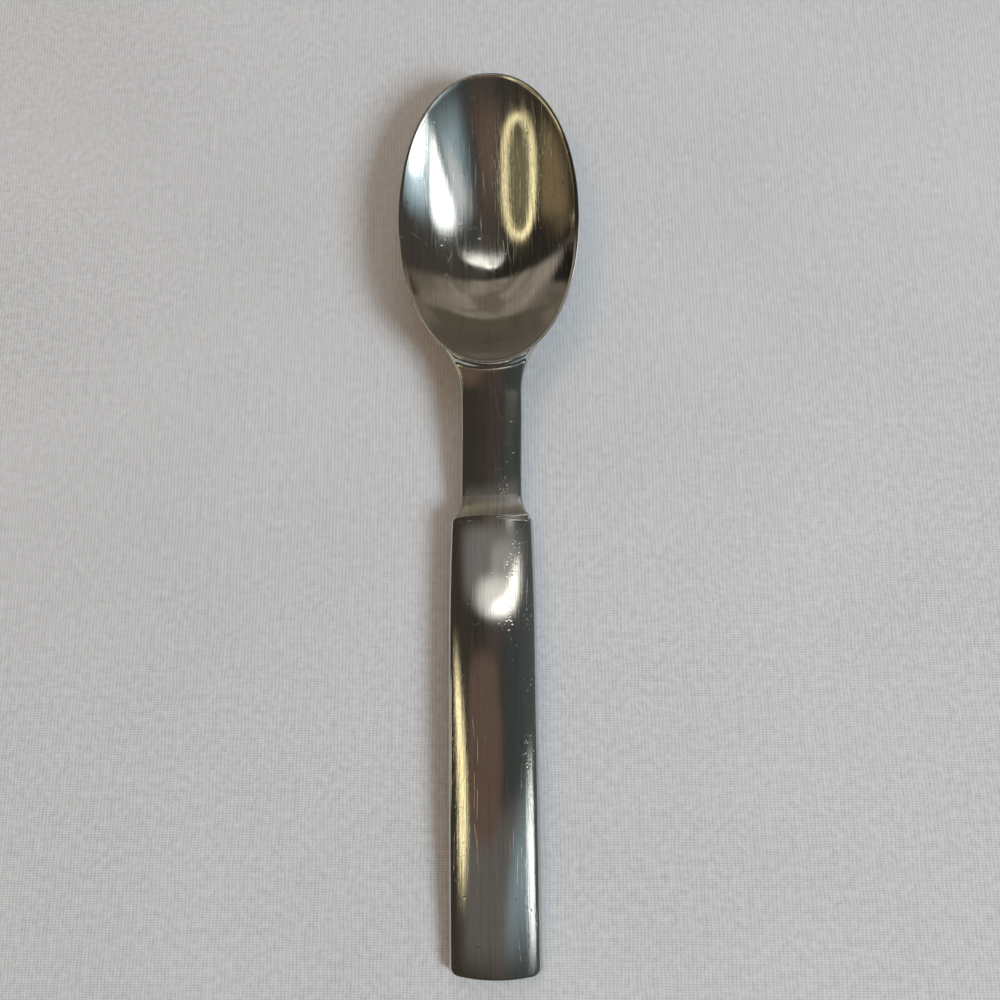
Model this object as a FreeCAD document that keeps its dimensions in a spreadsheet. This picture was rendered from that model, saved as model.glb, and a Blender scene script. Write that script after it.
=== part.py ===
import FreeCAD, Part
import math
import os
import Sketcher
from FreeCAD import Rotation, Vector

# Spoon in one piece of steel: oval bowl, plain neck, sloping shoulder and a crowned bar handle.
# Lengths in millimetres. X runs across, Y along the spoon with the bowl's tip at +Y, Z up.
# The origin lies under the middle of the overall length, on the plane the spoon rests on.

os.makedirs("parts", exist_ok=True)
doc = FreeCAD.newDocument("Spoon")

SIZES = [
    ("overall_length", 185.0, "tip of the bowl to end of the handle"),
    ("bowl_length", 67.8, "rim at the tip to rim at the heel"),
    ("bowl_width", 38.4, "rim outside to rim outside"),
    ("outline_fullness", 2.17, "power of the rim outline, 2 is an ellipse"),
    ("deepest_from_tip", 41.5, "tip to the deepest point"),
    ("wall_fullness", 2.2, "power of the bowl's slope, 2 is a paraboloid"),
    ("floor_thickness", 1.3, "metal under the deepest point"),
    ("rim_land", 0.7, "level width of the rim"),
    ("rim_tip_height", 9.4, "rim above the table at the tip"),
    ("rim_heel_height", 11.0, "rim above the table at the heel"),
    ("rim_sag", 0.35, "dip of the rim between tip and heel"),
    ("neck_length", 30.1, "shoulder's edge to the rim at the heel"),
    ("neck_width", 12.45, "plain part of the neck"),
    ("neck_front_thickness", 2.3, "middle of the neck at the shoulder"),
    ("neck_heel_thickness", 3.3, "middle of the neck at the heel"),
    ("neck_front_height", 4.9, "top of the neck at the shoulder"),
    ("heel_step", 1.25, "rim above the neck at the heel"),
    ("hidden_step", 0.5, "least height of the rim over the neck's hidden end"),
    ("heel_depth", 4.3, "rim above the highest part of the neck's underside"),
    ("heel_blend", 3.0, "height over which that underside blends into the bowl's"),
    ("heel_bury", 0.15, "depth at which the blend runs on inside the wall"),
    ("neck_hollow", 0.6, "lengthwise hollow of the neck's top"),
    ("neck_crown_radius", 22.0, "across the neck's top"),
    ("neck_edge_radius", 0.8, "long top edges of the neck"),
    ("heel_cove", 1.2, "width of the cove between the neck and the rim"),
    ("cove_inset", 0.5, "how far inside the rim's outline that cove ends"),
    ("rim_step", 0.15, "rim above the top of that cove"),
    ("flare_radius", 14.5, "neck widening into the heel, seen from above"),
    ("flare_length", 9.3, "length of that widening"),
    ("flare_bury", 0.39, "widest part of the neck inside the rim's outline"),
    ("neck_inlay", 7.4, "hidden end of the neck beyond its widest part"),
    ("neck_end_width", 10.0, "that hidden end across"),
    ("flare_crown_radius", 70.0, "across the top of the widest part"),
    ("flare_belly_radius", 18.0, "across the underside of the widest part"),
    ("shoulder_run", 2.9, "length of the sloping shoulder"),
    ("shoulder_rise", 1.3, "rise of the shoulder over the neck's top"),
    ("shoulder_spread", 1.55, "growth of the shoulder on each side of the neck"),
    ("shoulder_sink", 0.15, "depth at which the shoulder starts inside the neck"),
    ("shoulder_lead", 1.0, "how far before its foot the shoulder starts"),
    ("bar_overlap", 1.6, "how far the shoulder and the neck run on inside the bar"),
    ("handle_width", 17.5, "bar of the handle"),
    ("handle_front_width", 16.6, "bar of the handle at the shoulder"),
    ("handle_front_taper", 24.0, "length over which the front narrows"),
    ("handle_thickness", 4.0, "middle of the bar"),
    ("handle_front_height", 6.45, "top of the bar at the shoulder"),
    ("handle_arch", 1.2, "lengthwise arch of the bar over its chord"),
    ("handle_crown_radius", 20.0, "across the bar's top"),
    ("handle_edge_radius", 1.6, "long top edges of the bar"),
    ("lower_edge_radius", 0.5, "long lower edges of the bar"),
    ("underside_hollow", 0.1, "hollow across the bar's underside, which stands on its corners"),
    ("end_lift", 0.033, "middle of the end above the table, between those corners"),
    ("neck_belly_radius", 400.0, "across the underside of the neck"),
    ("end_curve_radius", 54.0, "end of the bar, seen from above"),
    ("end_corner_radius", 1.3, "corners of that end"),
    ("front_curve_radius", 74.0, "front edge of the bar, seen from above"),
    ("front_corner_radius", 0.8, "corners of that edge"),
    ("trim_gap", 0.06, "the ends' outline stands clear of the bar's sides"),
    ("margin", 2.0, "each tool reaches past what it shapes"),
    ("bowl_spacing", 2.8, "between points of the bowl's surfaces"),
    ("neck_spacing", 1.2, "between points of the neck's surfaces"),
    ("bar_spacing", 6.0, "between points of the bar's surfaces"),
]

PLACES = [
    ("tip_y", "overall_length / 2", "tip of the bowl"),
    ("heel_y", "tip_y - bowl_length", "rim at the heel"),
    ("bowl_middle_y", "tip_y - bowl_length / 2", "middle of the rim outline"),
    ("deepest_y", "tip_y - deepest_from_tip", "deepest point of the bowl"),
    ("end_y", "-overall_length / 2", "end of the handle"),
    ("front_y", "heel_y - neck_length", "front edge of the bar"),
    ("handle_length", "front_y - end_y", "bar of the handle"),
    ("shoulder_y", "front_y + shoulder_run", "foot of the shoulder"),
    ("shoulder_foot_y", "shoulder_y + shoulder_lead", "start of the shoulder inside the neck"),
    ("hidden_y", "front_y - bar_overlap", "hidden end of the shoulder"),
    ("neck_start_y", "hidden_y - bar_overlap / 2", "hidden start of the neck"),
    ("half_neck", "neck_width / 2", "side of the neck"),
    ("half_flare", "half_neck + flare_radius - sqrt(flare_radius^2 - flare_length^2)", "side of the flare"),
    ("flare_across", "(2 * half_flare / bowl_width)^outline_fullness", "its share of the rim outline's rule"),
    ("flare_along", "bowl_length / 2 * (1 - flare_across)^(1 / outline_fullness)", "where that outline is as wide"),
    ("flare_end_y", "bowl_middle_y - flare_along + flare_bury", "widest part of the neck"),
    ("flare_y", "flare_end_y - flare_length", "start of the widening"),
    ("neck_end_y", "flare_end_y + neck_inlay", "hidden end of the neck inside the bowl's wall"),
    ("taper_y", "front_y - handle_front_taper", "start of the bar's narrower front"),
    ("bar_start_y", "end_y - margin", "bar before its end is trimmed"),
    ("bar_stop_y", "front_y + margin", "bar before its front is trimmed"),
    ("half_end", "neck_end_width / 2", "side of the neck's hidden end"),
    ("half_shoulder", "half_neck + shoulder_spread", "side of the shoulder at the bar"),
    ("half_foot", "half_neck - shoulder_sink", "side of the shoulder at its start"),
    ("shoulder_width", "half_shoulder - half_foot", "growth of the shoulder's side"),
    ("shoulder_length", "shoulder_foot_y - front_y", "length of that growth"),
    ("shoulder_radius", "(shoulder_length^2 + shoulder_width^2) / (2 * shoulder_width)", "its curve, from the neck's side"),
    ("half_bar", "handle_width / 2", "side of the bar"),
    ("half_front", "handle_front_width / 2", "side of the bar at the front"),
    ("narrowing", "half_bar - half_front", "narrowing of each side"),
    ("taper_radius", "(handle_front_taper^2 + narrowing^2) / (2 * narrowing)", "curve of that narrowing"),
    ("half_trim", "half_bar + trim_gap", "side of the ends' outline"),
    ("half_front_trim", "half_front + trim_gap", "the same at the front"),
    ("end_side_y", "end_y + end_curve_radius - sqrt(end_curve_radius^2 - half_trim^2)", "end at the sides"),
    ("front_side_y", "front_y - front_curve_radius + sqrt(front_curve_radius^2 - half_front_trim^2)", "front at the sides"),
    ("block_start_y", "heel_y - margin", "rim block before the heel"),
    ("block_stop_y", "tip_y + margin", "rim block beyond the tip"),
    ("block_floor", "-margin", "underside of the rim block"),
    ("block_width", "bowl_width + 2 * margin", "rim block across"),
    ("beyond", "margin / bowl_length", "share of the bowl's length past each end"),
    ("rim_fall", "rim_heel_height - rim_tip_height", "rim at the heel over the rim at the tip"),
    ("rim_swell", "4 * rim_sag * beyond * (1 + beyond)", "rise of the sagging line past each end"),
    ("block_start_height", "rim_heel_height + rim_fall * beyond + rim_swell", "top of the block at the heel"),
    ("block_stop_height", "rim_tip_height - rim_fall * beyond + rim_swell", "top of the block at the tip"),
    ("block_chord", "sqrt((bowl_length + 2 * margin)^2 + (block_start_height - block_stop_height)^2)", "between them"),
    ("block_sag", "rim_sag + rim_swell", "sag of the block's top"),
    ("rim_radius", "(block_chord^2 / 4 + block_sag^2) / (2 * block_sag)", "lengthwise curve of the rim"),
]

sheet = doc.addObject("Spreadsheet::Sheet", "Sizes")
rows = []


def add_cell(name, content, note):
    """Write one named cell, a plain number or a formula, with its note beside it."""
    rows.append(name)
    number = len(rows)
    sheet.set("A%d" % number, name)
    sheet.set("B%d" % number, content)
    sheet.setAlias("B%d" % number, name)
    sheet.set("C%d" % number, note)


for name, value, note in SIZES:
    add_cell(name, str(value), note)
for name, formula, note in PLACES:
    add_cell(name, "=" + formula, note)
doc.recompute()
size = {name: float(sheet.get(name)) for name in rows}

# Surfaces given by a formula, each the floor of a solid block used as a tool

TOOL_HEIGHT = 30.0


def solid_above(name, height, half_width, start, end, spacing):
    """Block standing on the smooth surface z = height(x, y)."""
    columns = 2 * math.ceil(half_width / spacing) + 1
    lines = math.ceil((end - start) / spacing) + 1
    points = []
    for i in range(columns):
        x = half_width * (2 * i / (columns - 1) - 1)
        strip = []
        for j in range(lines):
            y = start + (end - start) * j / (lines - 1)
            strip.append(Vector(x, y, height(x, y)))
        points.append(strip)
    surface = Part.BSplineSurface()
    surface.interpolate(points)
    tool = doc.addObject("Part::Feature", name)
    tool.Shape = surface.toShape().extrude(Vector(0, 0, TOOL_HEIGHT))
    return tool


def clamp(value):
    return min(1.0, max(0.0, value))


def smooth_step(value):
    part = clamp(value)
    return part * part * (3 - 2 * part)


def soft_min(first, second, blend):
    """The lower of two heights, rounded where they differ by less than the blend."""
    closeness = max(0.0, 1 - abs(first - second) / blend)
    return min(first, second) - blend / 4 * closeness ** 2


def outline_share(x, y, inset):
    """Share of the way from the deepest point out to the rim outline, 1 on the outline."""
    half_width = size["bowl_width"] / 2 - inset
    half_length = size["bowl_length"] / 2 - inset
    shift = size["deepest_y"] - size["bowl_middle_y"]
    along = y - size["deepest_y"]
    power = size["outline_fullness"]
    low = 0.0
    high = 4.0
    for halving in range(45):
        share = (low + high) / 2
        across = abs(x) / (share * half_width)
        length = abs(along / share + shift) / half_length
        if across ** power + length ** power > 1:
            low = share
        else:
            high = share
    return (low + high) / 2


def rim_height(y):
    """Height of the rim, sagging a little between the heel and the lower tip."""
    part = (y - size["heel_y"]) / size["bowl_length"]
    straight = size["rim_heel_height"] * (1 - part) + size["rim_tip_height"] * part
    return straight - size["rim_sag"] * 4 * part * (1 - part)


def bowl_outside(x, y):
    return rim_height(y) * outline_share(x, y, 0.0) ** size["wall_fullness"]


def bowl_inside(x, y):
    floor = size["floor_thickness"]
    rise = outline_share(x, y, size["rim_land"]) ** size["wall_fullness"]
    return floor + (rim_height(y) - floor) * rise


def wall_middle(x, y):
    return (bowl_outside(x, y) + bowl_inside(x, y)) / 2


def neck_part(y):
    """0 at the foot of the shoulder, 1 at the heel."""
    return (y - size["shoulder_y"]) / (size["heel_y"] - size["shoulder_y"])


def flare_part(y):
    return smooth_step((y - size["flare_y"]) / size["flare_length"])


def neck_crest(y):
    """Height of the neck's top on its middle line."""
    part = neck_part(y)
    heel_height = size["rim_heel_height"] - size["heel_step"]
    straight = size["neck_front_height"] * (1 - part) + heel_height * part
    return straight - size["neck_hollow"] * 4 * part * (1 - part)


def neck_top(x, y):
    """Crowned top of the neck, with a small cove rising to the rim at the heel."""
    flare = flare_part(y)
    bend = (1 - flare) / size["neck_crown_radius"] + flare / size["flare_crown_radius"]
    plain = min(neck_crest(y), size["rim_heel_height"] - size["hidden_step"]) - bend * x * x / 2
    outside_rim = (outline_share(x, y, 0.0) - 1) * size["bowl_length"] / 2
    cove = smooth_step((size["heel_cove"] - outside_rim) / (size["heel_cove"] + size["cove_inset"]))
    return plain + cove * max(0.0, rim_height(y) - size["rim_step"] - plain)


def neck_underside(x, y):
    flare = flare_part(y)
    part = clamp(neck_part(y))
    thickness = size["neck_front_thickness"] * (1 - part) + size["neck_heel_thickness"] * part
    belly = min(neck_crest(y) - thickness, size["rim_heel_height"] - size["heel_depth"])
    bend = (1 - flare) / size["neck_belly_radius"] + flare / size["flare_belly_radius"]
    plain = belly + bend * x * x / 2
    blend = size["heel_blend"] * max(0.1, 1 - (x / size["half_flare"]) ** 2)
    return soft_min(plain, bowl_outside(x, y) + size["heel_bury"], blend)


def shoulder_growth(y):
    """Rise of the shoulder over the neck, from just below its surface."""
    sunk = size["shoulder_sink"]
    part = max(0.0, (size["shoulder_foot_y"] - y) / size["shoulder_length"])
    return (size["shoulder_rise"] + sunk) * part * part - sunk


def shoulder_top(x, y):
    front = max(y, size["front_y"])
    return neck_crest(front) + shoulder_growth(front) - x * x / 2 / size["neck_crown_radius"]


def bar_belly(y):
    """Height of the bar's underside on its middle line, an arch from the end to the front."""
    part = (y - size["end_y"]) / size["handle_length"]
    front = size["handle_front_height"] - size["handle_thickness"]
    chord = size["end_lift"] * (1 - part) + front * part
    return chord + size["handle_arch"] * 4 * part * (1 - part)


def bar_top(x, y):
    return bar_belly(y) + size["handle_thickness"] - x * x / 2 / size["handle_crown_radius"]


def bar_underside(x, y):
    return bar_belly(y) - size["underside_hollow"] * (x / size["half_bar"]) ** 2


def shoulder_underside(x, y):
    return bar_underside(x, size["front_y"]) + size["shoulder_sink"] * 2


# Plan and side views, drawn in sketches and driven from the sheet


def origin_plane(body, role):
    return [plane for plane in body.Origin.OriginFeatures if plane.Role == role][0]


def add_body(name, role):
    """A body with one empty sketch on one of its own planes."""
    body = doc.addObject("PartDesign::Body", name)
    sketch = body.newObject("Sketcher::SketchObject", name + "View")
    sketch.AttachmentSupport = [(origin_plane(body, role), "")]
    sketch.MapMode = "FlatFace"
    return body, sketch


def span(start, end, radius, side):
    """A line, or an arc of the given radius bulging to the given side of the way from start to end."""
    if radius is None:
        return Part.LineSegment(start, end)
    chord = end - start
    sagitta = radius - math.sqrt(radius ** 2 - chord.Length ** 2 / 4)
    across = Vector(chord.y, -chord.x, 0).normalize()
    return Part.Arc(start, (start + end) / 2 + across * sagitta * side, end)


def join_ends(sketch, count):
    """Join the ends that meet, the last piece with the first."""
    choices = [(1, 1), (1, 2), (2, 1), (2, 2)]
    for index in range(count):
        after = (index + 1) % count
        gaps = [(sketch.getPoint(index, a) - sketch.getPoint(after, b)).Length for a, b in choices]
        here, there = choices[gaps.index(min(gaps))]
        sketch.addConstraint(Sketcher.Constraint("Coincident", index, here, after, there))


def bind(sketch, kind, where, name):
    """Add a dimension to a sketch and drive it from the sheet."""
    number = sketch.addConstraint(Sketcher.Constraint(kind, *where, size[name]))
    sketch.setExpression("Constraints[%d]" % number, "Sizes." + name)


def end_at(sketch, index, point):
    """Which end of a piece lies at the point."""
    return min((1, 2), key=lambda end: (sketch.getPoint(index, end) - point).Length)


def add_plan(sketch, corners, sides, start, end):
    """Closed outline, the same on both sides of the Y axis.

    corners are the right-hand points, named (x, y) sizes from the lowest y up;
    sides holds the radius and side of each piece between them, start and end those of the closing pieces.
    """
    right = [Vector(size[x], size[y], 0) for x, y in corners]
    left = [Vector(-point.x, point.y, 0) for point in right]
    curves = [start] + sides + [end] + sides[::-1]
    points = [left[0]] + right + left[::-1]
    for index, (radius, side) in enumerate(curves):
        length = size[radius] if radius else None
        sketch.addGeometry(span(points[index], points[index + 1], length, side), False)
    join_ends(sketch, len(curves))
    for index, (radius, side) in enumerate(curves):
        if radius:
            bind(sketch, "Radius", (index,), radius)
    for number, (x, y) in enumerate(corners):
        piece = max(number, 1)
        mirrored = len(curves) - piece
        here = end_at(sketch, piece, right[number])
        there = end_at(sketch, mirrored, left[number])
        bind(sketch, "DistanceX", (-1, 1, piece, here), x)
        bind(sketch, "DistanceY", (-1, 1, piece, here), y)
        sketch.addConstraint(Sketcher.Constraint("Symmetric", piece, here, mirrored, there, -2))


def add_prism(name, corners, sides, start, end, low):
    """Upright block over a plan outline, from the height low upward."""
    body, sketch = add_body(name, "XY_Plane")
    sketch.AttachmentOffset = FreeCAD.Placement(Vector(0, 0, low), Rotation())
    add_plan(sketch, corners, sides, start, end)
    feature = body.newObject("PartDesign::Pad", name + "Pad")
    feature.Profile = sketch
    feature.Length = TOOL_HEIGHT
    return body


STRAIGHT = (None, 1)

neck_plan = add_prism(
    "NeckPlan",
    [("half_neck", "neck_start_y"), ("half_neck", "flare_y"),
     ("half_flare", "flare_end_y"), ("half_end", "neck_end_y")],
    [STRAIGHT, ("flare_radius", -1), STRAIGHT],
    STRAIGHT, STRAIGHT, 0.0)

shoulder_plan = add_prism(
    "ShoulderPlan",
    [("half_shoulder", "hidden_y"), ("half_shoulder", "front_y"), ("half_foot", "shoulder_foot_y")],
    [STRAIGHT, ("shoulder_radius", -1)],
    STRAIGHT, STRAIGHT, 0.0)

long_plan = add_prism(
    "BarSides",
    [("half_bar", "bar_start_y"), ("half_bar", "taper_y"), ("half_front", "front_y"), ("half_front", "bar_stop_y")],
    [STRAIGHT, ("taper_radius", 1), STRAIGHT],
    STRAIGHT, STRAIGHT, size["block_floor"])

end_plan = add_prism(
    "BarEnds",
    [("half_trim", "end_side_y"), ("half_trim", "taper_y"), ("half_front_trim", "front_side_y")],
    [STRAIGHT, ("taper_radius", 1)],
    ("end_curve_radius", 1), ("front_curve_radius", 1), size["block_floor"])
doc.recompute()


NEAR = 0.05


def edges_where(shape, wanted):
    return ["Edge%d" % (number + 1) for number, edge in enumerate(shape.Edges) if wanted(edge)]


def upright(edge):
    return edge.BoundBox.ZLength > TOOL_HEIGHT / 2


def round_corners(body, name, radius, wanted):
    """Round the upright corners of a prism that pass the test."""
    tip = body.Tip
    feature = body.newObject("PartDesign::Fillet", name)
    feature.Base = (tip, edges_where(tip.Shape, wanted))
    feature.Radius = size[radius]
    feature.setExpression("Radius", "Sizes." + radius)
    doc.recompute()


def front_corner(edge):
    return upright(edge) and abs(edge.BoundBox.YMax - size["front_side_y"]) < NEAR


def end_corner(edge):
    return upright(edge) and abs(edge.BoundBox.YMax - size["end_side_y"]) < NEAR


round_corners(end_plan, "FrontCorners", "front_corner_radius", front_corner)
round_corners(end_plan, "EndCorners", "end_corner_radius", end_corner)

# The rim block seen from the side; its sketch has Y along the page and Z up
block, block_side = add_body("RimBlock", "YZ_Plane")
block_corners = [
    ("block_start_y", "block_floor"), ("block_stop_y", "block_floor"),
    ("block_stop_y", "block_stop_height"), ("block_start_y", "block_start_height")]
rim_side = block_corners.index(("block_stop_y", "block_stop_height"))
for number, names in enumerate(block_corners):
    here, there = [Vector(size[y], size[z], 0) for y, z in (names, block_corners[(number + 1) % 4])]
    radius = size["rim_radius"] if number == rim_side else None
    block_side.addGeometry(span(here, there, radius, -1), False)
join_ends(block_side, 4)
bind(block_side, "Radius", (rim_side,), "rim_radius")
for number, (y, z) in enumerate(block_corners):
    here = end_at(block_side, number, Vector(size[y], size[z], 0))
    bind(block_side, "DistanceX", (-1, 1, number, here), y)
    bind(block_side, "DistanceY", (-1, 1, number, here), z)
rim_pad = block.newObject("PartDesign::Pad", "RimPad")
rim_pad.Profile = block_side
rim_pad.Midplane = True
rim_pad.Length = size["block_width"]
rim_pad.setExpression("Length", "Sizes.block_width")

# Putting the parts together


def common(name, base, tool):
    feature = doc.addObject("Part::Common", name)
    feature.Base = base
    feature.Tool = tool
    return feature


def cut(name, base, tool):
    feature = doc.addObject("Part::Cut", name)
    feature.Base = base
    feature.Tool = tool
    return feature


def fuse(name, base, tool):
    feature = doc.addObject("Part::Fuse", name)
    feature.Base = base
    feature.Tool = tool
    return feature


def round_edges(name, base, radius, wanted):
    """Round the edges of a shape that pass the test."""
    doc.recompute()
    feature = doc.addObject("Part::Fillet", name)
    feature.Base = base
    chosen = [number + 1 for number, edge in enumerate(base.Shape.Edges) if wanted(edge)]
    feature.Edges = [(number, size[radius], size[radius]) for number in chosen]
    doc.recompute()
    return feature


def long_edge_on(surface):
    """Test for the long edges of a blade that lie on the given surface."""

    def wanted(edge):
        middle = edge.valueAt((edge.FirstParameter + edge.LastParameter) / 2)
        lengthwise = edge.BoundBox.YLength > edge.BoundBox.XLength
        return lengthwise and abs(middle.z - surface(middle.x, middle.y)) < NEAR

    return wanted


def blade(name, plan, reach, top, underside):
    """Block over a plan, between a top surface and an underside."""
    floor = solid_above(name + "Floor", underside, *reach)
    cover = solid_above(name + "Cover", top, *reach)
    return cut(name, common(name + "Lower", plan, floor), cover)


margin = size["margin"]
neck_reach = (
    size["half_flare"] + margin, size["neck_start_y"] - margin, size["neck_end_y"] + margin, size["neck_spacing"])
shoulder_reach = (
    size["half_shoulder"] + margin, size["hidden_y"] - margin, size["shoulder_foot_y"] + margin, size["neck_spacing"])
bar_reach = (
    size["half_bar"] + margin, size["end_y"] - margin, size["front_y"] + margin, size["bar_spacing"])
bowl_reach = (
    size["block_width"] / 2, size["heel_y"] - margin, size["tip_y"] + margin, size["bowl_spacing"])

neck = blade("Neck", neck_plan, neck_reach, neck_top, neck_underside)
shoulder = blade("Shoulder", shoulder_plan, shoulder_reach, shoulder_top, shoulder_underside)
bar = blade("Bar", long_plan, bar_reach, bar_top, bar_underside)
rounded_neck = round_edges("RoundedNeck", neck, "neck_edge_radius", long_edge_on(neck_top))
rounded_shoulder = round_edges("RoundedShoulder", shoulder, "neck_edge_radius", long_edge_on(shoulder_top))
rounded_bar = round_edges("RoundedBar", bar, "handle_edge_radius", long_edge_on(bar_top))
softened_bar = round_edges("SoftenedBar", rounded_bar, "lower_edge_radius", long_edge_on(bar_underside))
handle = common("Handle", softened_bar, end_plan)

outside = solid_above("BowlOutside", bowl_outside, *bowl_reach)
inside = solid_above("BowlInside", bowl_inside, *bowl_reach)
within_wall = solid_above("WithinWall", wall_middle, *bowl_reach)
bowl = cut("Bowl", common("BowlBlank", block, outside), inside)

grip = fuse("Grip", handle, rounded_shoulder)
stem = cut("Stem", fuse("GripAndNeck", grip, rounded_neck), within_wall)
spoon = fuse("Spoon", bowl, stem)
spoon.Label = "spoon"
doc.recompute()

for item in doc.Objects:
    if "Invalid" in item.State or "Error" in item.State:
        raise RuntimeError("%s did not compute" % item.Label)
    shape = getattr(item, "Shape", None)
    if item.TypeId.startswith("Part") and (shape.isNull() or not shape.isValid()):
        raise RuntimeError("%s has no valid shape" % item.Label)
if len(spoon.Shape.Solids) != 1:
    raise RuntimeError("the spoon is not one solid")

spoon.Shape.exportStep("parts/%s.step" % spoon.Label)
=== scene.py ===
import math

import bpy
from bpy.props import FloatProperty, FloatVectorProperty, IntProperty, PointerProperty
from mathutils import Euler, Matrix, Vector


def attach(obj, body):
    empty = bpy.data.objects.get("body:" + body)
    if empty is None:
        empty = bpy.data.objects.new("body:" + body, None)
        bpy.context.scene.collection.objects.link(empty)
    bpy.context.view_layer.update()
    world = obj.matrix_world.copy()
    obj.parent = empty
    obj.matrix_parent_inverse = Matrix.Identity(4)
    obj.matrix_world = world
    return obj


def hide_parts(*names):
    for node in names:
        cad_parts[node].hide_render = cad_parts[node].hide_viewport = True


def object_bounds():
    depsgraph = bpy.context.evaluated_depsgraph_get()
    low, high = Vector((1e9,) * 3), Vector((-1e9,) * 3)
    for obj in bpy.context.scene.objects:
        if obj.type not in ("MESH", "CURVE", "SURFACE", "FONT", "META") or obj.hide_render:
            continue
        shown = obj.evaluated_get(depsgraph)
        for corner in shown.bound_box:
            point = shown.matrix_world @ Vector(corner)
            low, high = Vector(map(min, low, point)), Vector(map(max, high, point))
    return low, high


bl_info = {
    "name": "Steel spoon",
    "version": (1, 0, 0),
    "blender": (4, 5, 0),
    "location": "View3D > Sidebar > Spoon",
    "description": "Builds a one-piece steel spoon with its stage",
    "category": "Object",
}

# The frame is in metres: X across, Y from the handle to the bowl's tip, Z up from the table
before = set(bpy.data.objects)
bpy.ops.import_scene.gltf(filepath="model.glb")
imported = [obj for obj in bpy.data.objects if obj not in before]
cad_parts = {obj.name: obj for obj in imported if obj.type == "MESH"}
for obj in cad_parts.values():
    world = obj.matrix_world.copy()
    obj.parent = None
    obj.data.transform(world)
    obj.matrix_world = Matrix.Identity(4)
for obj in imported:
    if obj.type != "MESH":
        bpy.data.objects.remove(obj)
cad_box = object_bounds()

MM = 0.001


def length(name, description, millimetres):
    return FloatProperty(name=name, description=description, default=millimetres * MM, min=0.0, unit="LENGTH")


def number(name, description, value):
    return FloatProperty(name=name, description=description, default=value)


def share(name, description, value):
    return FloatProperty(
        name=name, description=description, default=value, min=0.0, max=1.0, subtype="FACTOR")


def watts(name, description, value):
    return FloatProperty(name=name, description=description, default=value, min=0.0, unit="POWER")


def colour(name, description, value):
    return FloatVectorProperty(
        name=name, description=description, default=value, size=3, min=0.0, max=1.0, subtype="COLOR")


class SpoonBowlSizes(bpy.types.PropertyGroup):
    """Sizes of the bowl"""

    width: length("Width", "Rim outside to rim outside", 38.4)
    length: length("Length", "Rim at the heel to rim at the tip", 67.8)
    fullness: number("Fullness", "Power of the rim outline, 2 is an ellipse", 2.17)
    tip_to_deepest: length("Tip to deepest", "From the tip to the deepest point", 41.5)
    slope: number("Slope", "Power of the wall's rise, 2 is a paraboloid", 2.2)
    floor: length("Floor", "Metal under the deepest point", 1.3)
    land: length("Land", "Level width of the rim", 0.7)
    rim_roll: length("Rim rounding", "How far the rim's rounding reaches down the walls", 0.22)
    rim_tip: length("Rim at tip", "Height of the rim at the tip", 9.4)
    rim_heel: length("Rim at heel", "Height of the rim at the heel", 11.0)
    rim_sag: length("Rim sag", "Dip of the rim between tip and heel", 0.35)
    twist: FloatProperty(
        name="Twist", description="Turn of the bowl on the neck", default=math.radians(0.5), subtype="ANGLE")
    shift: length("Shift", "Sideways offset of the bowl", 0.1)
    around: IntProperty(name="Around", description="Faces around the bowl", default=208, min=16)
    rings: IntProperty(name="Rings", description="Faces from the middle to the rim", default=72, min=8)


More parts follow.
